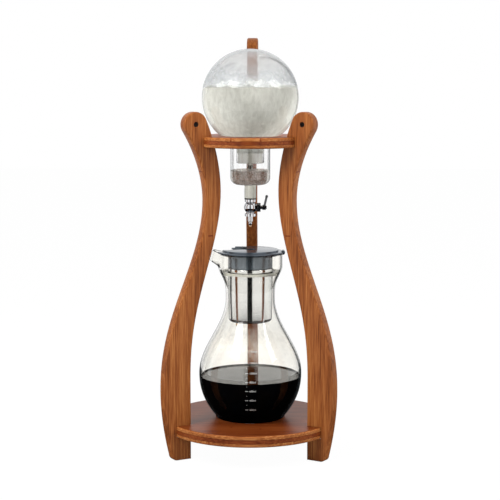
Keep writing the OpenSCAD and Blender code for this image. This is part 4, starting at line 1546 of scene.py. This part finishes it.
@dataclass
class Lamp:
    """One soft area lamp that looks at the tower, in metres."""

    name: str
    place: Triple
    width: float
    power: float
    aim_z: float = 0.3

    def build(self) -> None:
        """Hang the lamp."""
        rest()
        bpy.ops.object.light_add(type="AREA", location=self.place)
        lamp = bpy.context.object
        lamp.name = self.name
        lamp.data.shape = "SQUARE"
        lamp.data.size = self.width
        lamp.data.energy = self.power
        lamp.visible_glossy = False
        look = Vector((0, 0, self.aim_z)) - Vector(self.place)
        lamp.rotation_euler = look.to_track_quat("-Z", "Y").to_euler()


@dataclass
class Studio:
    """Floor, world, lamps, black flags and camera, in metres."""

    light: float = 0.4
    floor_half: float = 6.0
    floor_share: float = 0.94
    floor_glow: float = 1.04
    floor_paint: str = "#d0d0d0"
    camera_range: float = 2.035
    camera_turn: float = 2.0
    camera_z: float = 0.544
    pitch: float = 7.11
    focal_px: float = 1443
    photo_px: float = 500
    sensor: float = 36
    axis_px: float = 250.3
    # Middle and spread of each flag, in degrees to the right of the camera, and its distance
    flags: tuple[Triple, ...] = ((-2.5, 24, 0.5), (-113, 15, 0.6), (146, 12, 0.6))
    flag_high: float = 1.8
    # Inner and outer radius of the black ring on the floor
    table: Point = (0.01, 0.95)
    lamps: tuple[Lamp, ...] = (
        Lamp("key_lamp", (-0.9, -0.95, 1.35), 0.7, 23, 0.45),
        Lamp("side_lamp", (1.35, -0.45, 1.2), 0.7, 14, 0.45),
    )

    def seen(self, board: Board) -> Node:
        """Where a ray comes from the camera, or by way of metal or glass."""
        path = board.add("LightPath").outputs
        either = board.sum("MAXIMUM", path["Is Camera Ray"], path["Is Glossy Ray"])
        every = board.sum("MAXIMUM", either, path["Is Transmission Ray"])
        # A ray that has met a matt surface brings light, and is not a look at the backdrop
        return board.sum("MULTIPLY", every, board.sum("LESS_THAN", path["Diffuse Depth"], 0.5))

    def build_world(self) -> None:
        """White where it is seen, and a plain soft light everywhere else."""
        world = bpy.data.worlds.new("white studio")
        bpy.context.scene.world = world
        # Light drawn straight from the world would pass the flags, which stop mirror rays alone
        world.cycles.sampling_method = "NONE"
        board = blank(world)
        soft = board.add("Background", {"Color": linear(WHITE), "Strength": self.light})
        white = board.add("Background", {"Color": linear(WHITE), "Strength": 1.0})
        board.add("OutputWorld", {"Surface": board.blend(self.seen(board), soft, white)})

    def build_floor(self) -> None:
        """A plain white floor that keeps the tower's shadow."""
        rest()
        bpy.ops.mesh.primitive_plane_add(size=2 * self.floor_half, location=(0, 0, 0))
        floor = bpy.context.object
        floor.name = "floor"
        material = bpy.data.materials.new("white floor")
        board = blank(material)
        paint = board.add("BsdfDiffuse", {"Color": linear(self.floor_paint)})
        glow = board.add("Emission", {"Color": linear(WHITE), "Strength": self.floor_glow})
        share = board.sum("MULTIPLY", self.seen(board), self.floor_share)
        board.add("OutputMaterial", {"Surface": board.blend(share, paint, glow)})
        floor.data.materials.append(material)
        floor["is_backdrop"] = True

    def build_flags(self) -> None:
        """Stand black flags round the tower, which polished metal shows as dark bars."""
        cards = []
        for middle, spread, reach in self.flags:
            rest()
            bpy.ops.mesh.primitive_plane_add(size=1, location=(0, 0, 0))
            card = bpy.context.object
            turn = math.radians(middle + self.camera_turn)
            width = 2 * reach * math.tan(math.radians(spread / 2))
            card.scale = (width, self.flag_high, 1)
            card.rotation_euler = (math.radians(90), 0, turn)
            card.location = (reach * math.sin(turn), -reach * math.cos(turn), self.flag_high / 2)
            bpy.ops.object.transform_apply(location=True, rotation=True, scale=True)
            cards.append(card)
        rest()
        near, far = self.table
        bpy.ops.mesh.primitive_circle_add(vertices=48, radius=near, location=(0, 0, MM / 2))
        cards.append(bpy.context.object)
        bpy.ops.object.mode_set(mode="EDIT")
        bpy.ops.mesh.select_all(action="SELECT")
        bpy.ops.mesh.extrude_edges_move()
        bpy.ops.transform.resize(value=(far / near, far / near, 1), center_override=(0, 0, 0))
        rest()
        flags = join("black_flags", cards)
        FlagCloth("black flag cloth").dress(flags)
        for kind in ("camera", "diffuse", "shadow"):
            setattr(flags, f"visible_{kind}", False)
        flags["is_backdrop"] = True

    def build_camera(self) -> None:
        """Stand the camera where the photograph was taken from."""
        rest()
        bpy.ops.object.camera_add(location=(0, 0, 0))
        camera = bpy.context.object
        turn = math.radians(self.camera_turn)
        reach = self.camera_range
        camera.location = AXIS + Vector((reach * math.sin(turn), -reach * math.cos(turn), self.camera_z))
        camera.rotation_euler = (math.radians(90 - self.pitch), 0, turn)
        camera.data.sensor_width = self.sensor
        camera.data.lens = self.focal_px * self.sensor / self.photo_px
        camera.data.shift_x = (self.photo_px / 2 - self.axis_px) / self.photo_px
        bpy.context.scene.camera = camera

    def build(self) -> None:
        """Set the whole studio up."""
        self.build_world()
        self.build_floor()
        self.build_flags()
        for lamp in self.lamps:
            lamp.build()
        self.build_camera()
        bpy.context.scene.view_settings.view_transform = "Standard"


def main() -> None:
    """Build and dress the tower, and report each piece."""
    logging.basicConfig(level=logging.INFO, format="%(name)s: %(message)s")
    Studio().build()
    for group in (Stand(), Globe(), FeedCup(), DripValve(), Carafe(), Basket(), Lid()):
        LOG.info("%s", type(group).__name__)
        for step in ("build", "dress"):
            if hasattr(group, step):
                getattr(group, step)()
    rest()
    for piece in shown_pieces():
        LOG.info("%s: %d faces", piece.name, len(piece.data.polygons))


if __name__ == "__main__":
    main()
